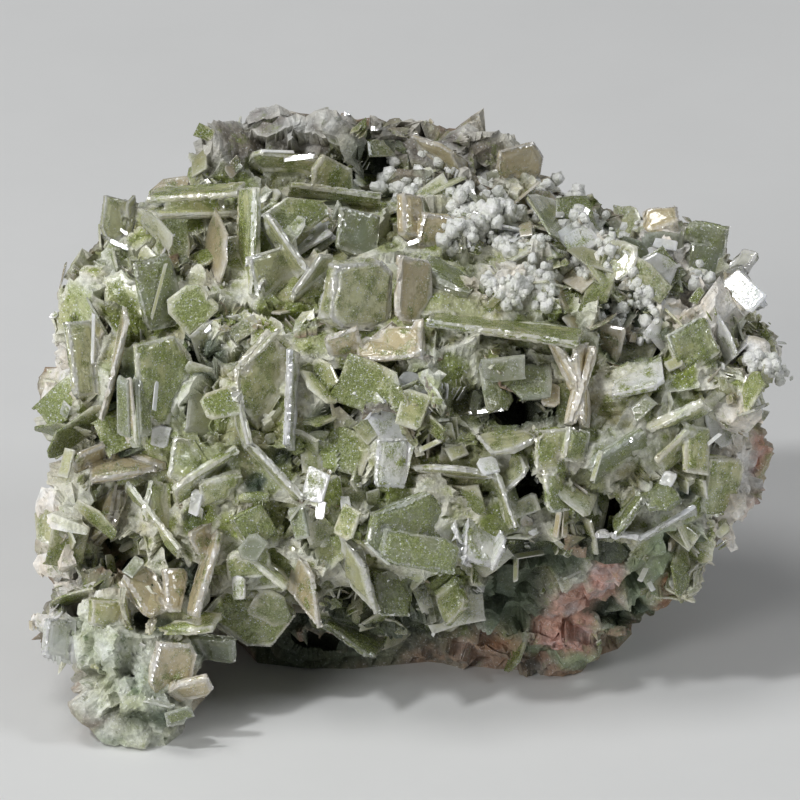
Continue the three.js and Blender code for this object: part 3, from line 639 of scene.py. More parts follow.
def dress_crystal(points, faces, edges, cover, rim_width, shift):
    """Rim is 1 on the sharp edges and fades over the rim's width; coat is the duftite, which starts inside
    the rim in patches. Two low ledges thin each plate toward its edges, the coat lifts the face by a fine
    noise, and the edges are chipped back to a depth that a noise varies."""
    thin = 0.3 * plate_thickness(points, faces)
    points, faces = refine(points, faces, FACET)
    reach = distance_to_edges(points, edges)
    patch = lattice_noise(points, 1.1, shift)
    rim = 1 - step_between(0.3 * rim_width, rim_width, reach + 0.35 * patch * rim_width)
    coat = (0.75 * cover + 0.3 * patch + 0.15 * lattice_noise(points, 0.45, shift)) * (1 - 0.85 * rim)
    normal = outward(points, faces)
    ledge = 1 - 0.55 * step_between(0.02, 0.2, reach) - 0.45 * step_between(0.42, 0.6, reach + 0.15 * patch)
    rise = np.clip(coat, 0, 1) * (0.02 + 0.06 * lattice_noise(points, 0.3, shift))
    chip = step_between(0.0, 0.35, lattice_noise(points, 0.8, shift))
    chip = chip + 0.3 * (1 + lattice_noise(points, 0.35))
    wear = 0.16 * chip * (1 - step_between(0.05, 0.4, reach))
    return points + normal * (rise - wear - thin * ledge)[:, None], faces, {
        "coat": np.clip(coat, 0, 1), "rim": 0.9 * rim, "inset": np.minimum(reach, 4)}


# %% Dressing them all
NOISE_SHIFT = 3.7  # how far the noise moves on from one crystal to the next
node_slots = {row["node"]: row["material_slot"] for row in frame["record"]["subparts"]}
crystal_cloud = []
for order, (name, (look, cover, rim_width, tone)) in enumerate(CRYSTAL_FINISH.items()):
    node = f"wulfenite_{name}"
    points, faces, edges = flat_copy(node)
    points, faces, values = dress_crystal(
        rooted(points), faces, edges, cover, rim_width, NOISE_SHIFT * order)
    crystal_cloud.append(points)
    piece = make_piece(f"crystal_{name}", points, faces, crystal_looks[look], node_slots[node],
                       tone=tone, **values)
    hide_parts(node)
crystal_cloud = np.vstack(crystal_cloud)
print("crystal groups:", len(CRYSTAL_FINISH), "points:", len(crystal_cloud))

# %% [markdown]
# ## The matrix
# Between the large crystals the rock isn't smooth: it is a jumble of small crystal faces, hollows and crumbs.
# Cells of random tilt give that look. Where the show face is crystallised, the surface is let in a little, so
# that the small crystals grown on it later reach back up to the solid's own level. Bare rock, white chalk and
# dark crust are painted as point values, from soft spots whose places are given in the show view; the dark
# crust also carries painted shade in the hollows, and other spots paint shade where the face lies back.

# %% Broken relief
RELIEF_CELLS = 16


def facets(points, size, slope, rng_seed):
    """A jumble of flat faces: each point belongs to the nearest of many random seeds, one in each lattice
    cell, and its height is the seed's own height plus the seed's own slope times the offset from it. Gives
    the height, the distance from the border of the face, and two random numbers of the face."""
    rng = np.random.default_rng(rng_seed)
    shape = (RELIEF_CELLS,) * 3
    jitter, slopes = rng.random((*shape, 3)), rng.normal(0, slope, (*shape, 3))
    heights, own = rng.normal(0, 0.3 * size, shape), rng.random((*shape, 2))
    place = points / size
    cell = np.floor(place).astype(int)
    nearest, second = np.full((2, len(points)), FAR)
    relief, numbers = np.zeros(len(points)), np.zeros((len(points), 2))
    for step in np.ndindex(3, 3, 3):
        home = cell + np.array(step) - 1
        x, y, z = (home % RELIEF_CELLS).T
        offset = place - home - jitter[x, y, z]
        gap = np.linalg.norm(offset, axis=1)
        closer = gap < nearest
        second = np.where(closer, nearest, np.minimum(second, gap))
        nearest = np.where(closer, gap, nearest)
        lean = np.einsum("ij,ij->i", offset, slopes[x, y, z]) * size + heights[x, y, z]
        relief[closer] = lean[closer]
        numbers[closer] = own[x, y, z][closer]
    return relief, 0.5 * size * (second - nearest), numbers


def spots(across, up, places, soft=0.35):
    """The greatest of some soft ellipses in the show view; each is across, up, half width, half height and,
    if given, its turn in degrees."""
    total = np.zeros(len(across))
    for x, y, wide, high, *turn in places:
        angle = np.radians(turn[0] if turn else 0)
        dx, dy = across - x, up - y
        along = (dx * np.cos(angle) + dy * np.sin(angle)) / wide
        side = (dy * np.cos(angle) - dx * np.sin(angle)) / high
        total = np.maximum(total, 1 - step_between(1 - soft, 1 + soft, np.hypot(along, side)))
    return total


# %% Zones of the show face
RED_ROCK = [(14.3, -16.6, 3.6, 1.9, 20), (13.2, -18.6, 2.6, 1.5, 10), (16.6, -14.4, 1.8, 1.3, 30)]
ORANGE_ROCK = [(9.2, -18.2, 1.4, 1, 20), (21.2, -14.8, 1.2, 0.8), (20.2, -17.2, 2.2, 0.8, 38),
               (9.8, -20.4, 3.4, 0.5, -6)]
RED_STRIPS = [(28.5, -5.1, 1.0, 2.9), (27.7, -9.4, 1.0, 1.9, -20)]
WHITE_CHALK = [(26.4, -6, 1.7, 6, -6), (25.8, -10.6, 1.6, 1.6), (24.4, -12, 2, 1), (19.6, -14.4, 0.6, 1),
               (-28, 3, 1.6, 5, 10), (-28.4, -10, 1.8, 7, 8), (-27.8, -16.4, 2, 2.4),
               (-27.4, -14.4, 2, 3.4), (-23.6, -15.8, 2.6, 1.4), (-2.6, 0.6, 1.8, 1.4),
               (24, 7, 2.6, 3), (20.4, 12, 3, 2), (28.6, 2.6, 1.6, 2), (-7.4, 20.6, 1, 0.5),
               (-14.6, 21.2, 0.7, 0.4)]
# chalk with the green of the duftite showing through, on the lobe and between the beads
THIN_CHALK = [(14, 13, 5, 3.4), (4, 17, 4, 2.6), (9, 9.6, 4, 2.2), (19, 8.6, 3.6, 3.2)]
GREEN_CHALK = [(-22.4, -19.8, 5, 4, -30), (-21, -23.6, 4.4, 2.4, -20), (-21, -26.8, 4, 1.6)]
# lumpy chalk on which no plates stand
NO_PLATES = [(-22.2, -20.4, 5.4, 4.6, -20), (-28.6, -10.6, 1.8, 6.4), (-26.6, -15.4, 2.6, 2)]
# dark crust, together with painted shade in the hollows and under the overhanging crystals
DARK_CRUST_AND_SHADE = [(9, -16.4, 3, 2.6), (12, -12.6, 3, 1.6), (19, -17.6, 4, 1), (-19.4, -25.4, 2.6, 0.9),
              (-19, -18, 1, 0.8), (-16.4, -9.8, 0.9, 0.8), (-17, -14.8, 0.9, 1), (-20.4, -17.4, 1.2, 0.8),
              (-4, -18.6, 9, 2.2), (-8, -20.6, 8, 1.6), (10.4, -6.6, 1.4, 1.6), (16, -9.4, 2, 1.8),
              (9.6, -0.6, 4, 1.6), (19, 4.8, 2.6, 1.8), (-2.4, 18.6, 2, 1.6), (-21.6, -1, 1.8, 3.4),
              (-22.8, -12.6, 0.9, 1.9), (-4.4, -2, 2, 2), (17.4, 15.4, 1.8, 0.7), (-15.6, 3.4, 1.6, 1.4),
              (-9.5, -4.8, 0.8, 0.6), (-7, -4.5, 0.6, 0.6), (-11.5, -6.8, 0.8, 0.8), (22.5, -7.2, 0.9, 0.6)]
GREEN_SKIN = [(8.8, -16.6, 2.4, 2.6), (19.6, -14.6, 1.6, 2.4, -30), (18.6, -18.6, 2.6, 0.9, 20),
              (13, -20.2, 4, 0.7, 4), (12.5, -13.4, 3, 0.8, 20), (22, -12, 2.4, 2.2)]
# the top ridge: grey rock, its tones set dark partly as painted shade
GREY_RIDGE = [(-9, 21.4, 11, 1.9, 9), (3, 20.6, 7, 2.0, -6), (-15, 20.5, 3, 2)]
# where beads leave less room for tablets, and where no medium tablet stands up against the ridge
BEADED = [(14, 12, 7, 4), (4, 17, 4, 3), (10, 9, 5, 2.4), (19, 8, 3, 3)]
RIDGE_LINE = [(-6, 20, 14, 2.2)]
# parts that lie back, out of the light
SHADED = [(-7, 19.6, 11, 2.6, 3), (8, 19, 6, 2), (13, -13, 8, 4.4), (11, -3, 9, 6), (-2, -17, 14, 3)]


# %% Being near other points
def near_cloud(points, cloud, cell=0.5, blurs=2):
    """1 where a point lies within a cell or two of a cloud of points, fading to 0 further off: the cells that
    hold the cloud are marked on a coarse lattice, and the marks are blurred along each axis in turn."""
    low = cloud.min(axis=0) - 4
    size = ((cloud.max(axis=0) + 4 - low) / cell).astype(int) + 1
    marks = np.zeros(size)
    marks[tuple(((cloud - low) / cell).astype(int).T)] = 1
    for _ in range(blurs):
        for axis in range(3):
            marks = (np.roll(marks, 1, axis) + marks + np.roll(marks, -1, axis)) / 3
    place = np.clip(((points - low) / cell).astype(int), 0, size - 1)
    return np.clip(marks[tuple(place.T)] * 6, 0, 1)


# %% Shaping the matrix
CRUST_FACET = 0.48
BACK_FACET = 1.0
BACK_STARTS = -5  # millimetres out along the view
LET_IN = 0.75
BASE_HEIGHT = 0.02
crust_points, crust_faces = refine(
    rock_points, rock_faces,
    lambda middle: np.where(show_place(middle)[2] > BACK_STARTS, CRUST_FACET, BACK_FACET))
crust_normal = outward(crust_points, crust_faces)
crust_across, crust_up, _ = show_place(crust_points)
facing = step_between(-0.35, 0.25, crust_normal @ OUT)
ripple, ripple_up = (
    0.5 * lattice_noise(crust_points, 1.6, shift) + 0.3 * lattice_noise(crust_points, 0.6, shift)
    for shift in (0, 4.4))
grow_mask = facing * step_between(2.0, 6.0, crust_points[:, 2] + 3 * ripple)


def front_spots(places):
    """Soft spots with uneven borders, kept to the side that the show view sees."""
    return spots(crust_across + 0.7 * ripple, crust_up + 0.7 * ripple_up, places) * facing


# %% Where each kind of ground lies
red = np.maximum(front_spots(RED_ROCK), front_spots(RED_STRIPS))
orange = front_spots(ORANGE_ROCK)
lobe = front_spots(GREEN_CHALK)
white = np.maximum(np.maximum(front_spots(WHITE_CHALK), 0.5 * front_spots(THIN_CHALK)), 0.9 * lobe)
# the dark crust, which also carries painted shade in the hollows and under the overhang
dark = front_spots(DARK_CRUST_AND_SHADE)
shade = front_spots(SHADED) * (1 - 0.8 * red)
grey = front_spots(GREY_RIDGE)
skin = front_spots(GREEN_SKIN)
bare = np.maximum(np.maximum(red, orange), 1 - grow_mask)

# %% The relief of the matrix
touching = near_cloud(crust_points, crystal_cloud)
broad, broad_border, broad_own = facets(crust_points, 3.0, 0.6, 5)
narrow, narrow_border, narrow_own = facets(crust_points, 1.3, 0.45, 6)
clustered = step_between(0.35, 0.5, broad_own[:, 1])
relief = 0.8 * broad + (0.12 + 0.5 * clustered) * narrow
border = np.where(clustered > 0.5, np.minimum(narrow_border, broad_border), broad_border)
own = np.where(clustered[:, None] > 0.5, narrow_own, broad_own)
rough_rock = (0.35 * facets(crust_points, 4.5, 0.3, 7)[0] + 0.4 * facets(crust_points, 1.6, 0.35, 8)[0]
              + 0.25 * lattice_noise(crust_points, 0.8))
rise = (1 - bare) * (relief - LET_IN * (1 - grey)) * (1 - 0.75 * touching) + bare * (rough_rock - 0.2)
rise -= 0.7 * dark * (1 - touching)
on_base = crust_points[:, 2] < BASE_HEIGHT
rise[on_base] = 0
crust_shaped = crust_points + crust_normal * rise[:, None]
crust_shaped[:, 2] = np.maximum(crust_shaped[:, 2], 0.0)

# %% Point values of the matrix
# the kinds of ground, and what grows on each face: duftite on most, a pale rim that is partly a painted
# highlight on the raised faces, a warm or cool body, and a tone that differs at random and holds painted shade
# in the low parts of the relief
crust_values = {
    "bare": bare, "red": red, "orange": orange, "white": white, "dark": dark, "shade": shade, "grey": grey,
    "skin": skin, "lobe": lobe,
    "coat": np.clip(1.35 - 1.1 * own[:, 0], 0.2, 1) * (0.7 + 0.3 * step_between(0.1, 0.6, border)),
    "rim": (1 - step_between(0.05, 0.4, border)) * step_between(-0.5, 0.4, relief),
    "warm": step_between(0.3, 0.8, own[:, 1]),
    "tone": 0.9 + 0.14 * np.tanh(relief) + 0.1 * (own[:, 1] - 0.5)}
print("matrix triangles:", len(crust_faces))

# %% [markdown]
# The matrix needs the richest finish of all. Point values say where it is bare, brick red or orange rock,
# white or green chalk, grey ridge, green skin or dark crust, and where painted shade darkens the hollows and
# the parts that lie back. All the rest is duftite over a paler body.

# %% The matrix material
# the darker and the lighter tone of each ground, blended by a noise over a few millimetres
GROUND_TONES = {
    "rock": ((0.10, 0.085, 0.065), (0.30, 0.25, 0.19)),
    "druse": ((0.25, 0.29, 0.09), (0.56, 0.60, 0.34)),
    # the ridge is grey rock, its tones set darker partly as painted shade
    "ridge": ((0.12, 0.10, 0.085), (0.36, 0.33, 0.31)),
    "chalk": ((0.80, 0.72, 0.62), (0.92, 0.93, 0.94)),
    "lobe": ((0.40, 0.47, 0.29), (0.78, 0.82, 0.76)),
}
RUST, MOSS, ORANGE = (0.36, 0.19, 0.11), (0.41, 0.44, 0.33), (0.31, 0.1175, 0.045)
BRICK, BRICK_GREY = (0.62, 0.325, 0.26), (0.60, 0.53, 0.56)
# the pale rim colour of the matrix faces is partly a painted highlight
HONEY, PALE_RIM_AND_HIGHLIGHT = (0.56, 0.46, 0.27), (0.88, 0.88, 0.83)
SKIN, SPECK = (0.255, 0.375, 0.215), (0.07, 0.16, 0.04)
# painted shade: the dark crust colour mixed with the shade of the hollows, deeper shade for the hollows, and
# shade where the face lies back
HOLLOW_CRUST_AND_SHADE, DEEP_PAINTED_SHADE, PAINTED_SHADE = (0.08, 0.12, 0.07), (0.03, 0.05, 0.025), (0.06, 0.06, 0.045)
CHALK_GAIN = 1.4  # fills out the soft borders of the chalk


def layered(tree, colour, layers):
    """A colour under one layer after another, each given as how much of it shows and its own colour."""
    for amount, layer in layers:
        colour = blend(tree, amount, colour, layer)
    return colour


def bare_rock(tree, at, broad, rock):
    """Rock with stains of rust and patches of pale green, brick red that is greyed in places, and orange."""
    stain = mottled(tree, 5.0)
    brick = blend(tree, spread(tree, broad, 0.5, 0.9, 0.0, 0.75), BRICK, BRICK_GREY)
    return layered(tree, rock, (
        (spread(tree, stain, 0.5, 0.75, 0.0, 0.7), RUST), (spread(tree, stain, 0.2, 0.4, 0.6, 0.0), MOSS),
        (at["red"], brick), (at["orange"], ORANGE)))


def matrix_material():
    """Grounds from bottom to top: the body under the druse, warm in places, grey along the top ridge (set
    darker, partly as painted shade) and pale at the rims of its faces, partly as a painted highlight; bare
    rock; chalk, with specks on the lobe; dark crust mixed with painted shade in the hollows; green skin.
    Duftite then grows where the ground is open, and painted shade darkens the hollows and the parts that lie
    back."""
    material, tree, shader = start_material("matrix_crust")
    at = {label: point_value(tree, label) for label in crust_values}
    broad = mottled(tree, 2.4)
    ground = {name: blend(tree, broad, *tones) for name, tones in GROUND_TONES.items()}
    chalk_at = product(tree, at["white"], CHALK_GAIN, clamp=True)
    skin_at = product(tree, at["skin"], spread(tree, at["red"], 0.0, 0.6, 1.0, 0.0))
    specks = product(tree, at["lobe"], spread(tree, mottled(tree, 1.3), 0.76, 0.92, 0.0, 0.75))
    # the dark crust layer also carries painted shade, and the pale rim layer is partly a painted highlight
    colour = layered(tree, ground["druse"], (
        (product(tree, at["warm"], 0.4), HONEY), (at["grey"], ground["ridge"]),
        (product(tree, at["rim"], 0.7), PALE_RIM_AND_HIGHLIGHT), (at["bare"], bare_rock(tree, at, broad, ground["rock"])),
        (chalk_at, blend(tree, at["lobe"], ground["chalk"], ground["lobe"])), (specks, SPECK),
        (at["dark"], HOLLOW_CRUST_AND_SHADE), (product(tree, skin_at, 0.8), SKIN)))
    # duftite grows less where something else lies on top, and less on the rims of the faces
    hidden = at["bare"]
    for covering, share in ((chalk_at, 0.75), (at["grey"], 0.7), (skin_at, 0.8)):
        hidden = number(tree, "MAXIMUM", hidden, product(tree, covering, share))
    open_part = number(tree, "SUBTRACT", 1.0, product(tree, hidden, 0.95))
    cover = product(tree, product(tree, open_part, fade(tree, at["rim"], 0.7, 0.15)), at["coat"])
    druse = group_in(tree, druse_group, Body=colour, Cover=cover, Drift=0.25, Size=0.09)
    # painted shade: deeper in the hollows, lighter where the face lies back
    colour = layered(tree, druse.outputs["Color"], (
        (product(tree, at["dark"], 0.6), DEEP_PAINTED_SHADE), (product(tree, at["shade"], 0.35), PAINTED_SHADE)))
    # the tone holds painted shade in the low parts of the relief
    fine = group_in(
        tree, mottle_group, Color=brightened(tree, colour, at["tone"]), Amount=0.2, Size=0.45)
    plug(tree, shader.inputs["Base Color"], fine.outputs["Color"])
    rough = number(tree, "ADD", 0.10, product(tree, druse.outputs["Grain"], 0.3))
    plug(tree, shader.inputs["Roughness"], number(tree, "ADD", rough, product(tree, hidden, 0.4)))
    roughen(tree, shader, fine.outputs["Tone"], druse.outputs["Normal"], 0.5, 0.0002)
    return material


matrix = make_piece("matrix_crust", crust_shaped, crust_faces, matrix_material(), "rock", **crust_values)
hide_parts("matrix_rock")

# %% [markdown]
# ## The small crystals
# In the picture no patch of the show face is free of crystals. Between the large ones stand about a thousand
# small tablets, mostly on edge, in fans that share a direction, and more than twice as many crumbs. Each is a
# closed shell of a few dozen faces: an outline of eight or sixteen corners, carried over a short profile from
# the middle of one face, round the edge and to the middle of the other. All are worked out as one array.

# %% Tablet shells
# for each ring of a shell, its size and its height through the tablet
TABLET_PROFILE = [(0, 1), (0.74, 1), (0.94, 1), (1, 0.6), (1, -0.6), (0, -1)]
PLATE_PROFILE = [(0, 1), (0.6, 1), (0.9, 1), (1, 0.55), (1, -0.55), (0, -1)]
CRUMB_PROFILE = [(0, 1), (1, 0.7), (1, -0.7), (0, -1)]


def tablet_shells(rng, wide, long, thick, clips, taper, bend, terrace, profile=TABLET_PROFILE,
                  corners_between=1):
    """Points of many tablets as (tablet, point, 3), in their own directions: x across, y along, z through.
    The outline is a rectangle with clipped corners, narrowed toward its ends by taper and made a little
    uneven; bend lifts the ends by the square of y, terrace lifts the middle of the upper face, and a random
    twist turns the ends. Also gives the number of points in each ring, the size of each point's ring, and
    each point's place along y, from 0 at the foot to 1 at the tip."""
    a, b = wide[:, None] / 2, long[:, None] / 2
    c = clips * np.minimum(a, b)
    x = np.concatenate([a, a, a - c[:, 1:2], -a + c[:, 2:3], -a, -a, -a + c[:, 3:4], a - c[:, 0:1]], axis=1)
    y = np.concatenate([-b + c[:, 0:1], b - c[:, 1:2], b, b, b - c[:, 2:3], -b + c[:, 3:4], -b, -b], axis=1)
    if corners_between > 1:
        t = np.arange(corners_between) / corners_between
        x, y = ((v[:, :, None] * (1 - t) + np.roll(v, -1, 1)[:, :, None] * t).reshape(len(v), -1)
                for v in (x, y))
    x = x * (1 - taper[:, None] * (y / b) ** 2)
    x = x * rng.uniform(0.86, 1.06, x.shape)
    y = y * rng.uniform(0.86, 1.06, y.shape)
    twist = rng.normal(0, 0.03, (len(x), 1))
    rings = []
    for size, height in profile:
        one = slice(0, 1) if size == 0 else slice(None)
        rx, ry = x[:, one] * size, y[:, one] * size
        z = height * thick[:, None] / 2 + bend[:, None] * (ry / b) ** 2 + twist * rx * ry / b
        z = z + (terrace[:, None] * (1 - size) if height > 0.9 else 0)
        rings.append(np.stack([rx, ry, np.broadcast_to(z, rx.shape)], axis=2))
    shells = np.concatenate(rings, axis=1)
    ring_size = np.concatenate([np.full(r.shape[1], size) for r, (size, _) in zip(rings, profile)])
    return shells, [len(r[0]) for r in rings], ring_size, np.clip(0.5 + shells[..., 1] / long[:, None], 0, 1)


def shell_faces(ring_sizes, count):
    """Triangles that join ring to ring, repeated for each tablet; a ring of one point is a pole."""
    faces = []
    start = 0
    for here, after in zip(ring_sizes[:-1], ring_sizes[1:]):
        side = np.arange(max(here, after))
        following = (side + 1) % len(side)
        if here == 1:
            faces.append(
                np.column_stack([np.full(len(side), start), start + 1 + side, start + 1 + following]))
        elif after == 1:
            faces.append(np.column_stack([start + side, np.full(len(side), start + here), start + following]))
        else:
            a, b = start + side, start + following
            faces.append(np.column_stack([a, a + here, b + here]))
            faces.append(np.column_stack([a, b + here, b]))
        start += here
    one = np.vstack(faces)
    points_each = sum(ring_sizes)
    return (one[None] + points_each * np.arange(count)[:, None, None]).reshape(-1, 3)


# %% Where the small crystals grow
def pick_places(rng, count, weight):
    """Random points of the matrix, more where the weight is high: triangles are drawn by area times weight,
    then a point is drawn inside each."""
    a, b, c = crust_shaped[crust_faces].transpose(1, 0, 2)
    area = np.linalg.norm(np.cross(b - a, c - a), axis=1)
    share = area * weight[crust_faces].mean(axis=1)
    chosen = rng.choice(len(crust_faces), count, p=share / share.sum())
    s, t = rng.random((2, count, 1))
    s, t = np.where(s + t > 1, 1 - s, s), np.where(s + t > 1, 1 - t, t)
    place = a[chosen] + s * (b - a)[chosen] + t * (c - a)[chosen]
    return place, crust_normal[crust_faces[chosen, 0]]


def in_plane(along, face):
    """The direction nearest to the first that lies in the plane of a face that looks along the second."""
    return unit(along - np.einsum("ij,ij->i", along, face)[:, None] * face)


def grow_directions(rng, place, normal, lying):
    """The way each tablet grows and the way its face looks. The face looks along the surface normal for the
    share that lies down, and sideways for the rest, toward a side that changes slowly from place to place, so
    that neighbours form fans. The tablet grows outward within its own plane."""
    drift = np.stack([lattice_noise(place, 5.0, shift) for shift in (1.1, 2.2, 3.3)], axis=1)
    side = unit(unit(drift) + 0.5 * rng.normal(size=place.shape))
    count = len(place)
    raised = np.where(
        rng.random(count) < lying, rng.uniform(0.7, 2.8, count), rng.uniform(-0.25, 0.45, count))
    face = unit(normal * raised[:, None] + side)
    along = normal + 0.5 * unit(drift) + 0.25 * rng.normal(size=place.shape)
    return in_plane(along, face), face


def set_tablets(local, place, along, face, lift):
    """Carries tablets from their own directions to their places: x across, y along, z through."""
    across = np.cross(along, face)
    return (place[:, None] + local[..., 0:1] * across[:, None]
            + (local[..., 1:2] + lift[:, None, None]) * along[:, None] + local[..., 2:3] * face[:, None])


# %% The outline in the show view
CELL = 0.5
RASTER = 160


def cells_of(across, up):
    """The cell of a half-millimetre raster of the show view that holds each place."""
    cells = np.round(np.stack([across, up]) / CELL).astype(int) + RASTER // 2
    return tuple(np.clip(cells, 0, RASTER - 1))


def outline_raster(points):
    """Marks the cells of the show view that the points cover, and their neighbours."""
    across, up, _ = show_place(points)
    covered = np.zeros((RASTER, RASTER), bool)
    covered[cells_of(across, up)] = True
    for axis in (0, 1):
        covered = covered | np.roll(covered, 1, axis) | np.roll(covered, -1, axis)
    return covered


in_outline = outline_raster(np.vstack([crust_shaped, crystal_cloud]))

# %% Measures and room for tablets
def tablet_measures(rng, size):
    """Width, length, thickness, clipped corners, taper, bend and terrace of tablets of the given sizes."""
    count = len(size)
    wide = size * rng.uniform(0.6, 1.1, count)
    long = size * rng.uniform(0.9, 1.5, count)
    thick = np.clip(size * rng.uniform(0.06, 0.13, count), 0.1, 0.32)
    clips = np.where(rng.random((count, 4)) < 0.25, rng.uniform(0.3, 0.9, (count, 4)), 0.05)
    taper = np.where(rng.random(count) < 0.2, rng.uniform(0.3, 0.7, count), rng.uniform(0, 0.15, count))
    bend = long * rng.normal(0, 0.02, count)
    terrace = thick * rng.normal(0, 0.15, count)
    return wide, long, thick, clips, taper, bend, terrace


def has_room(shells):
    """Whether each tablet may stay: it doesn't pierce the face of a large crystal, stand out past the outline
    of the whole or hide the red rock."""
    points = shells.reshape(-1, 3)
    across, up, _ = show_place(points)
    inside, within, on_rock = (
        value.reshape(shells.shape[:2]).mean(axis=1) for value in (
            near_cloud(points, crystal_cloud, 0.45, 1), in_outline[cells_of(across, up)],
            spots(across, up, RED_ROCK + RED_STRIPS)))
    return (inside < 0.3) & (on_rock < 0.04) & (within > 0.98)


def insets(wide, ring_size):
    """How far each point lies in from the long edge of its tablet, for the growth lines."""
    return (0.5 * wide[:, None] * (1 - ring_size)).ravel()


def make_tablets(name, look, shells, rings, **values):
    """One piece of all the tablets that share a look."""
    make_piece(name, shells.reshape(-1, 3), shell_faces(rings, len(shells)), crystal_looks[look],
               LOOK_SLOTS[look], **values)


# %% Growing them
SHARES = {"green": 0.54, "pale": 0.16, "beige": 0.17, "white": 0.08, "dark": 0.05}
THINLY_COATED = ("pale", "white", "beige")


def grow_tablets(prefix, books, leaves, size_low, size_high, seed, weight, lying, sunk, **shape):
    """Grows tablets over the matrix in books of a few leaves, which share a place and nearly a direction, and
    makes a piece for each look in each half of the face. The weight says where they grow, lying is the share
    that lies down, and sunk is how far they are let into the matrix, as a part of their length."""
    rng = np.random.default_rng(seed)
    count = books * leaves

    def each(values):
        """The values of the books, repeated for their leaves."""
        return np.repeat(values, leaves, axis=0)

    place, normal = (each(v) for v in pick_places(rng, books, weight))
    along, face = (unit(each(v) + 0.14 * rng.normal(size=(count, 3)))
                   for v in grow_directions(rng, place[::leaves], normal[::leaves], lying))
    along = in_plane(along, face)
    seen = step_between(-0.2, 0.5, normal @ OUT)
    size = size_low * (size_high / size_low) ** each(rng.random(books)) * (0.6 + 0.4 * seen)
    size *= rng.uniform(0.6, 1.0, count)
    wide, long, *others = tablet_measures(rng, size)
    local, rings, ring_size, tip = tablet_shells(rng, wide, long, *others, **shape)
    # the leaves of a book stand side by side, each let in a little differently
    lift = long * (rng.uniform(-0.12, 0.12, count) - sunk - 0.2 * (1 - seen))
    fan = np.tile(np.arange(leaves) - (leaves - 1) / 2, books)[:, None]
    place = place + face * fan * np.maximum(0.3 * size, 0.3)[:, None] + normal * 0.05
    place += np.cross(along, face) * (rng.normal(0, 0.25, count) * size)[:, None]
    shells = set_tablets(local, place, along, face, lift)
    kept = has_room(shells)
    # looks come in patches, the last ones of the list more often high on the face
    across, up, _ = show_place(place)
    rank = 0.5 + 0.35 * lattice_noise(place, 5.5, 9.1) + 0.2 * each(rng.normal(0, 1, books))
    rank += 0.16 * step_between(4, 14, up) - 0.10 * step_between(-6, -16, up)
    look_of = np.searchsorted(np.quantile(rank, np.cumsum(list(SHARES.values()))[:-1]), rank)
    cover = np.clip(rng.normal(0.7, 0.25, count), 0, 1)
    tone = each(rng.uniform(0.85, 1.12, books)) * rng.uniform(0.92, 1.08, count)
    # painted shade on the tablets where the face lies back
    tone *= 1 - 0.25 * spots(across, up, SHADED)
    made = 0
    for index, look in enumerate(SHARES):
        for side_name, side in (("left", across < 0), ("right", across >= 0)):
            chosen = np.flatnonzero(kept & (look_of == index) & side)
            picked = shells[chosen]
            picked[..., 2] = np.maximum(picked[..., 2], 0.05)
            free = tip[chosen].ravel()
            # pale rims, partly a painted highlight, grow stronger toward the tip
            rim = np.tile(step_between(0.55, 1.0, ring_size), len(chosen)) * (0.35 + 0.65 * free)
            coat = np.repeat(cover[chosen], len(ring_size)) * (0.6 if look in THINLY_COATED else 1)
            coat = coat * (1.15 - 0.55 * free)
            # the tone is painted darker toward the foot, as shade near the matrix
            make_tablets(f"{prefix}_{look}_{side_name}", look, picked, rings, coat=coat * (1 - 0.8 * rim),
                         rim=rim * 0.85, inset=insets(wide[chosen], ring_size),
                         tone=np.repeat(tone[chosen], len(ring_size)) * (0.78 + 0.3 * free))
            made += len(chosen)
    print(prefix, "grown:", made, "of", count)


# %% [markdown]
# Some smaller plates stand out in the picture: mirror-bright ones that throw the lamp straight back, white
# blocks, thin bright edges, and a fan of olive blades. They are set one by one. The mirrors and the bright
# edges take the white look, so that their pale colour is partly a painted reflection and highlight. Each
# stands on whatever is frontmost at its place in the show view.

# %% Plates set one by one
# the mirrors, which all lean the same way and whose white look partly paints their reflection: across, up,
# width, length, turn of the length in the picture
MIRROR_LEAN = (26, 135)
MIRRORS = [
    (27.4, 8.7, 2.1, 3.7, -45), (-22.4, 12.4, 0.45, 1.9, -28), (-22.3, 13.6, 0.3, 1.4, -36),
    (-15.5, 6.3, 0.7, 2.1, -68), (-8.1, 19.4, 0.55, 2.7, 0), (6.3, 14.7, 0.5, 1.3, -25),
    (14.8, 14.9, 0.7, 1.0, 60), (1.1, 12.6, 0.4, 1.0, 15), (-2.0, 21.8, 0.5, 0.7, 0),
    (-4.3, 23.0, 0.3, 0.4, 0), (6.8, -0.9, 0.3, 3.0, 0)]
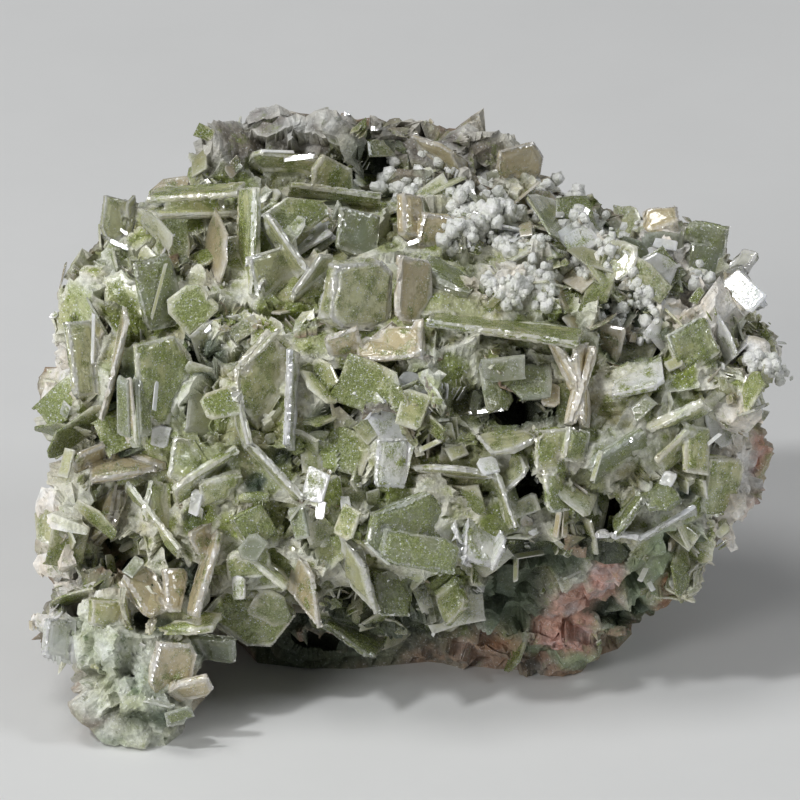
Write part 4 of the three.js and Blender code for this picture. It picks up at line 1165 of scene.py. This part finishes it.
# all plates: the look, the same five numbers, how far the face leans away from the viewer and toward which
# side, in degrees, and how much duftite is on it
PLATES = [("white", *mirror, *MIRROR_LEAN, 0) for mirror in MIRRORS] + [
    ("pale", -19.2, 8.6, 0.3, 4.7, 75, 10, 0, 0),
    ("white", -24.4, 4.9, 0.35, 4.4, 88, 30, 180, 0), ("white", 24.6, -3.4, 0.35, 2.6, 35, 30, 200, 0),
    ("white", -9.8, 19.9, 0.25, 2.6, -3, 30, 90, 0), ("pale", 15.6, -5.2, 0.5, 3.0, 60, 40, 200, 0.3),
    ("white", 21.2, 12.4, 1.1, 2.0, -10, 30, 90, 0), ("dark", 23.7, 8.3, 0.9, 1.6, 60, 25, 90, 0.9),
    ("dark", -21.9, -0.6, 1.5, 5.2, -110, 50, 200, 0.7), ("beige", -21.5, -0.8, 1.4, 5.4, -102, 50, 200, 0.5),
    ("dark", -21.1, -0.9, 1.5, 5.6, -95, 50, 190, 0.8), ("green", -20.7, -0.9, 1.4, 5.2, -88, 50, 0, 0.6),
    ("dark", -20.3, -0.6, 1.5, 4.8, -80, 50, 0, 0.8), ("green", -14.2, -0.3, 2.6, 3.2, 20, 30, 45, 0.9),
    ("white", -19.4, 0.3, 0.4, 2.4, 80, 40, 0, 0), ("white", -19.0, -2.9, 1.6, 1.9, 75, 20, 250, 0.2),
    ("pale", -26.5, -5.0, 1.0, 2.6, 70, 30, 180, 0.2), ("green", 1.0, -0.8, 2.6, 3.4, 70, 25, 60, 0.6),
    ("dark", 8.2, 2.5, 2.6, 3.6, 10, 35, 270, 0.4), ("white", 7.0, -5.2, 1.6, 1.8, 20, 30, 60, 0.3),
    ("pale", 4.5, -4.1, 1.3, 1.8, 30, 30, 60, 0.2), ("pale", 2.4, -3.6, 0.5, 2.0, 40, 40, 90, 0.1),
    ("beige", 12.0, 0.4, 1.6, 2.2, 80, 30, 60, 0.2), ("pale", 10.0, -8.4, 1.6, 2.2, 25, 20, 250, 0.3),
    ("white", -6.7, -6.8, 2.0, 2.8, 70, 20, 200, 0.4), ("white", -6.3, -8.7, 0.9, 1.5, 80, 25, 190, 0.1),
    ("white", -4.3, -8.3, 0.9, 1.5, 95, 25, 60, 0.1), ("dark", -8.0, -9.8, 1.6, 2.8, 100, 30, 200, 0.8),
    ("pale", 9.25, -13.4, 0.6, 2.2, 88, 40, 180, 0.1), ("pale", 10.3, -12.3, 0.6, 2.3, 15, 40, 90, 0.1),
    ("beige", 12.5, -9.8, 0.7, 2.2, 70, 50, 180, 0.1), ("beige", 13.1, -9.8, 0.7, 2.2, 80, 50, 0, 0.1),
    ("dark", 19.0, -0.8, 1.4, 3.0, 40, 20, 200, 0.3), ("white", 21.3, -6.4, 1.2, 1.6, 60, 20, 200, 0.2),
    ("pale", 21.8, 2.9, 1.1, 1.5, 30, 30, 90, 0.1), ("white", 19.4, -13.9, 0.5, 1.4, 70, 30, 90, 0),
    ("white", 20.0, -14.8, 0.5, 1.2, 110, 30, 90, 0), ("white", -16.2, -8.1, 1.2, 2.2, 75, 30, 180, 0.1),
    ("dark", -21.2, -13.3, 1.2, 2.0, 60, 30, 90, 0.3), ("dark", -11.7, -11.7, 2.0, 2.6, 60, 35, 250, 0.3),
    ("white", -12.8, -14.9, 1.4, 2.0, 85, 30, 200, 0.5), ("green", -4.2, -9.7, 2.0, 2.6, 60, 30, 200, 0.7),
    ("green", -16.5, 7.4, 3.7, 3.7, 45, 18, 250, 0.85), ("dark", -17.5, -25.0, 1.4, 2.4, 20, 40, 280, 0.8)]


def frontmost(across, up, reach):
    """How far out the surface comes at places in the show view: the middle value of the frontmost millimetre
    among the points within reach."""
    found = np.zeros(len(across))
    for i, (x, y, radius) in enumerate(zip(across, up, reach)):
        near = cloud_out[np.hypot(cloud_across - x, cloud_up - y) < radius]
        found[i] = np.median(near[near > near.max() - 1.0]) if len(near) else np.nan
    return found


cloud_across, cloud_up, cloud_out = show_place(np.vstack([crust_shaped, crystal_cloud]))
plate_looks, plate_numbers = np.array([row[0] for row in PLATES]), np.array([row[1:] for row in PLATES])
middle_across, middle_up, plate_wide, plate_long, roll, lean, toward, plate_cover = plate_numbers.T
roll, lean, toward = np.radians(roll), np.radians(lean), np.radians(toward)
plate_face = (np.outer(np.cos(lean), OUT) + np.outer(np.sin(lean) * np.cos(toward), ACROSS)
              + np.outer(np.sin(lean) * np.sin(toward), UP))
plate_along = in_plane(np.outer(np.cos(roll), ACROSS) + np.outer(np.sin(roll), UP), plate_face)
plate_out = frontmost(middle_across, middle_up, 0.3 + 0.15 * (plate_wide + plate_long)) + 0.3
plate_middle = (FACE_MIDDLE + np.outer(middle_across, ACROSS) + np.outer(middle_up, UP)
                + np.outer(plate_out, OUT))

# %% Making the set plates
plate_rng = np.random.default_rng(51)
plate_count = len(PLATES)
unbent = np.zeros(plate_count)
plate_shells, plate_rings, plate_ring_size, _ = tablet_shells(
    plate_rng, plate_wide, plate_long, np.clip(0.2 * plate_wide, 0.15, 0.4),
    plate_rng.uniform(0.02, 0.5, (plate_count, 4)), plate_rng.uniform(0, 0.2, plate_count),
    unbent, unbent, profile=PLATE_PROFILE)
plate_points = set_tablets(plate_shells, plate_middle, plate_along, plate_face, unbent)
for look in LOOK_SLOTS:
    chosen = np.flatnonzero(plate_looks == look)
    # pale rims, partly a painted edge highlight
    rim = np.tile(step_between(0.6, 1.0, plate_ring_size), len(chosen))
    make_tablets(f"set_plates_{look}", look, plate_points[chosen], plate_rings, tone=1.05, rim=0.8 * rim,
                 coat=np.repeat(plate_cover[chosen], len(plate_ring_size)) * (1 - 0.7 * rim),
                 inset=insets(plate_wide[chosen], plate_ring_size))
# points along the middle of each plate, for what grows later to keep clear of
down_the_middle = np.linspace(-0.5, 0.5, 9)[:, None] * (plate_long[:, None] * plate_along)[:, None]
plate_cloud = (plate_middle[:, None] + down_the_middle).reshape(-1, 3)
crystal_cloud = np.vstack([crystal_cloud, plate_points.reshape(-1, 3)])
print("plates set one by one:", plate_count)

# %% Where and how densely they grow
beads_patch, lumpy = front_spots(BEADED), front_spots(NO_PLATES)
growing = (1 - bare) * (1 - 0.45 * beads_patch) * (1 - 0.8 * dark) + 0.03
growing[on_base] = 0
growing *= step_between(1.5, 5, crust_points[:, 2]) * (1 - near_cloud(crust_points, plate_cloud, 0.8, 2))
growing *= 1 - 0.85 * grey
growing *= 1 - 0.95 * lumpy
in_view = step_between(0.25, 0.7, crust_normal @ OUT) * (1 - spots(crust_across, crust_up, RIDGE_LINE))
grow_tablets("medium_tablets", 560, 1, 3.0, 5.8, 31, growing * in_view, 0.7, 0.32,
             profile=PLATE_PROFILE, corners_between=2)
grow_tablets("small_tablets", 260, 3, 1.2, 2.8, 32, growing, 0.6, 0.35)
grow_tablets("crumb", 1100, 3, 0.4, 1.2, 33, growing + 0.3 * beads_patch + 0.4 * lumpy, 0.5, 0.2,
             profile=CRUMB_PROFILE)

# %% [markdown]
# ## White beads
# At the upper right, white botryoidal beads sit on the crust in clumps. Each is a slightly uneven ball worked
# out from its two angles.

# %% Beads
BEAD_PATCHES = [(15, 12.8, 4.2, 2.8), (2.4, 18, 3.6, 2.2), (10, 9.2, 3, 2), (7, 14.4, 4, 3),
                (19, 8, 2.6, 2.6), (12, 16.4, 3, 1), (22.6, 10.4, 1.6, 1.6), (28.6, 3.2, 0.7, 0.8),
                (-2.4, 0.3, 1, 0.8)]


def bead_balls(rng, centres, radii, sides=7, levels=4):
    """Balls from two angles: longitude round the side and latitude from pole to pole; each point's radius is
    uneven by up to a quarter."""
    latitude = np.pi * np.arange(1, levels) / levels
    longitude = 2 * np.pi * np.arange(sides) / sides
    ring = np.stack([
        np.sin(latitude)[:, None] * np.cos(longitude), np.sin(latitude)[:, None] * np.sin(longitude),
        np.cos(latitude)[:, None] * np.ones(sides)], axis=2).reshape(-1, 3)
    ball = np.vstack([[0, 0, 1], ring, [0, 0, -1]])
    uneven = rng.uniform(0.72, 1.2, (len(centres), len(ball), 1))
    return centres[:, None] + ball * uneven * radii[:, None, None], [1] + [sides] * (levels - 1) + [1]


def bead_material():
    """Chalky white with a sugary sparkle and a trace of green in the seams."""
    material, tree, shader = start_material("white_beads", {"IOR": 1.6})
    tone = mottled(tree, 0.6)
    white = blend(tree, tone, (0.86, 0.88, 0.80), (1.0, 1.0, 0.99))
    druse = group_in(tree, druse_group, Body=white, Cover=0.06, Drift=0.1, Size=0.13)
    plug(tree, shader.inputs["Base Color"], druse.outputs["Color"])
    plug(tree, shader.inputs["Roughness"], fade(tree, druse.outputs["Grain"], 0.25, 0.6))
    roughen(tree, shader, tone, druse.outputs["Normal"], 0.8, 0.0003)
    return material


# %% Clumps of beads
BEAD_CLUMPS, CLUMP = 230, 8
CLUMP_SPREAD, BEAD_LIFT = 0.38, 0.15
LEAST_RADIUS, RADIUS_RANGE = 0.2, 0.48
bead_rng = np.random.default_rng(41)
bead_count = BEAD_CLUMPS * CLUMP
bead_weight = front_spots(BEAD_PATCHES) * (1 - 0.7 * touching)
bead_seeds, bead_normals = pick_places(bead_rng, BEAD_CLUMPS, bead_weight)
bead_seeds = np.repeat(bead_seeds, CLUMP, axis=0) + bead_rng.normal(0, CLUMP_SPREAD, (bead_count, 3))
bead_centres = bead_seeds + np.repeat(bead_normals, CLUMP, axis=0) * BEAD_LIFT
bead_radii = LEAST_RADIUS + RADIUS_RANGE * bead_rng.random(bead_count) ** 1.6
bead_points, bead_rings = bead_balls(bead_rng, bead_centres, bead_radii)
make_piece("white_beads", bead_points.reshape(-1, 3), shell_faces(bead_rings, bead_count), bead_material(),
           "white_crystal", smooth=True)
print("beads:", bead_count)

# %% [markdown]
# ## The floor and the light
# A plain pale floor and soft lamps, as in a studio. The key light is the smallest, because small lamps are
# what make facets glint.

# %% Floor and lamps
FLOOR_REACH = 2.0


def make_floor():
    """A square sheet, four metres wide, with a faintly uneven pale finish."""
    material, tree, shader = start_material("pale_floor", {"Roughness": 0.8})
    pale = group_in(tree, mottle_group, Color=(0.72, 0.72, 0.71), Amount=0.02, Size=30.0)
    plug(tree, shader.inputs["Base Color"], pale.outputs["Color"])
    mesh = bpy.data.meshes.new("floor")
    corners = [(-1, -1), (1, -1), (1, 1), (-1, 1)]
    mesh.from_pydata([(x * FLOOR_REACH, y * FLOOR_REACH, 0) for x, y in corners], [], [(0, 1, 2, 3)])
    mesh.materials.append(material)
    floor = bpy.data.objects.new("floor", mesh)
    bpy.context.collection.objects.link(floor)
    floor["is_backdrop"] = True


def add_lamp(name, across, up, out, size, power, colour=(1.0, 1.0, 1.0)):
    """A square lamp at a place in the show view, in metres, aimed at the middle of the face."""
    data = bpy.data.lights.new(name, "AREA")
    data.size, data.energy, data.color = size, power, colour
    middle = Vector(FACE_MIDDLE * MM)
    location = middle + Vector(ACROSS * across + UP * up + OUT * out)
    place_facing(name, data, location, middle - location)


make_floor()
add_lamp("key", -0.4, 0.4, 0.45, 0.05, 1.9, (0.97, 0.985, 1.0))
add_lamp("box", -0.2, 0.55, 0.3, 0.25, 1.2)
add_lamp("side", 0.5, 0.3, 0.3, 0.14, 0.8, (0.93, 0.96, 1.0))
add_lamp("low", -0.5, -0.05, 0.5, 0.2, 1.85)

world = bpy.data.worlds.new("studio")
world.use_nodes = True
sky = world.node_tree.nodes["Background"].inputs
sky["Color"].default_value = (0.95, 0.97, 1.0, 1.0)
sky["Strength"].default_value = 0.12
bpy.context.scene.world = world
bpy.context.scene.view_settings.view_transform = "Standard"

# %% The last measures
triangles = {piece.name: len(piece.data.polygons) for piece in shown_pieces() if piece.type == "MESH"}
largest = max(triangles, key=triangles.get)
print("triangles in all:", sum(triangles.values()), "largest:", largest, triangles[largest])
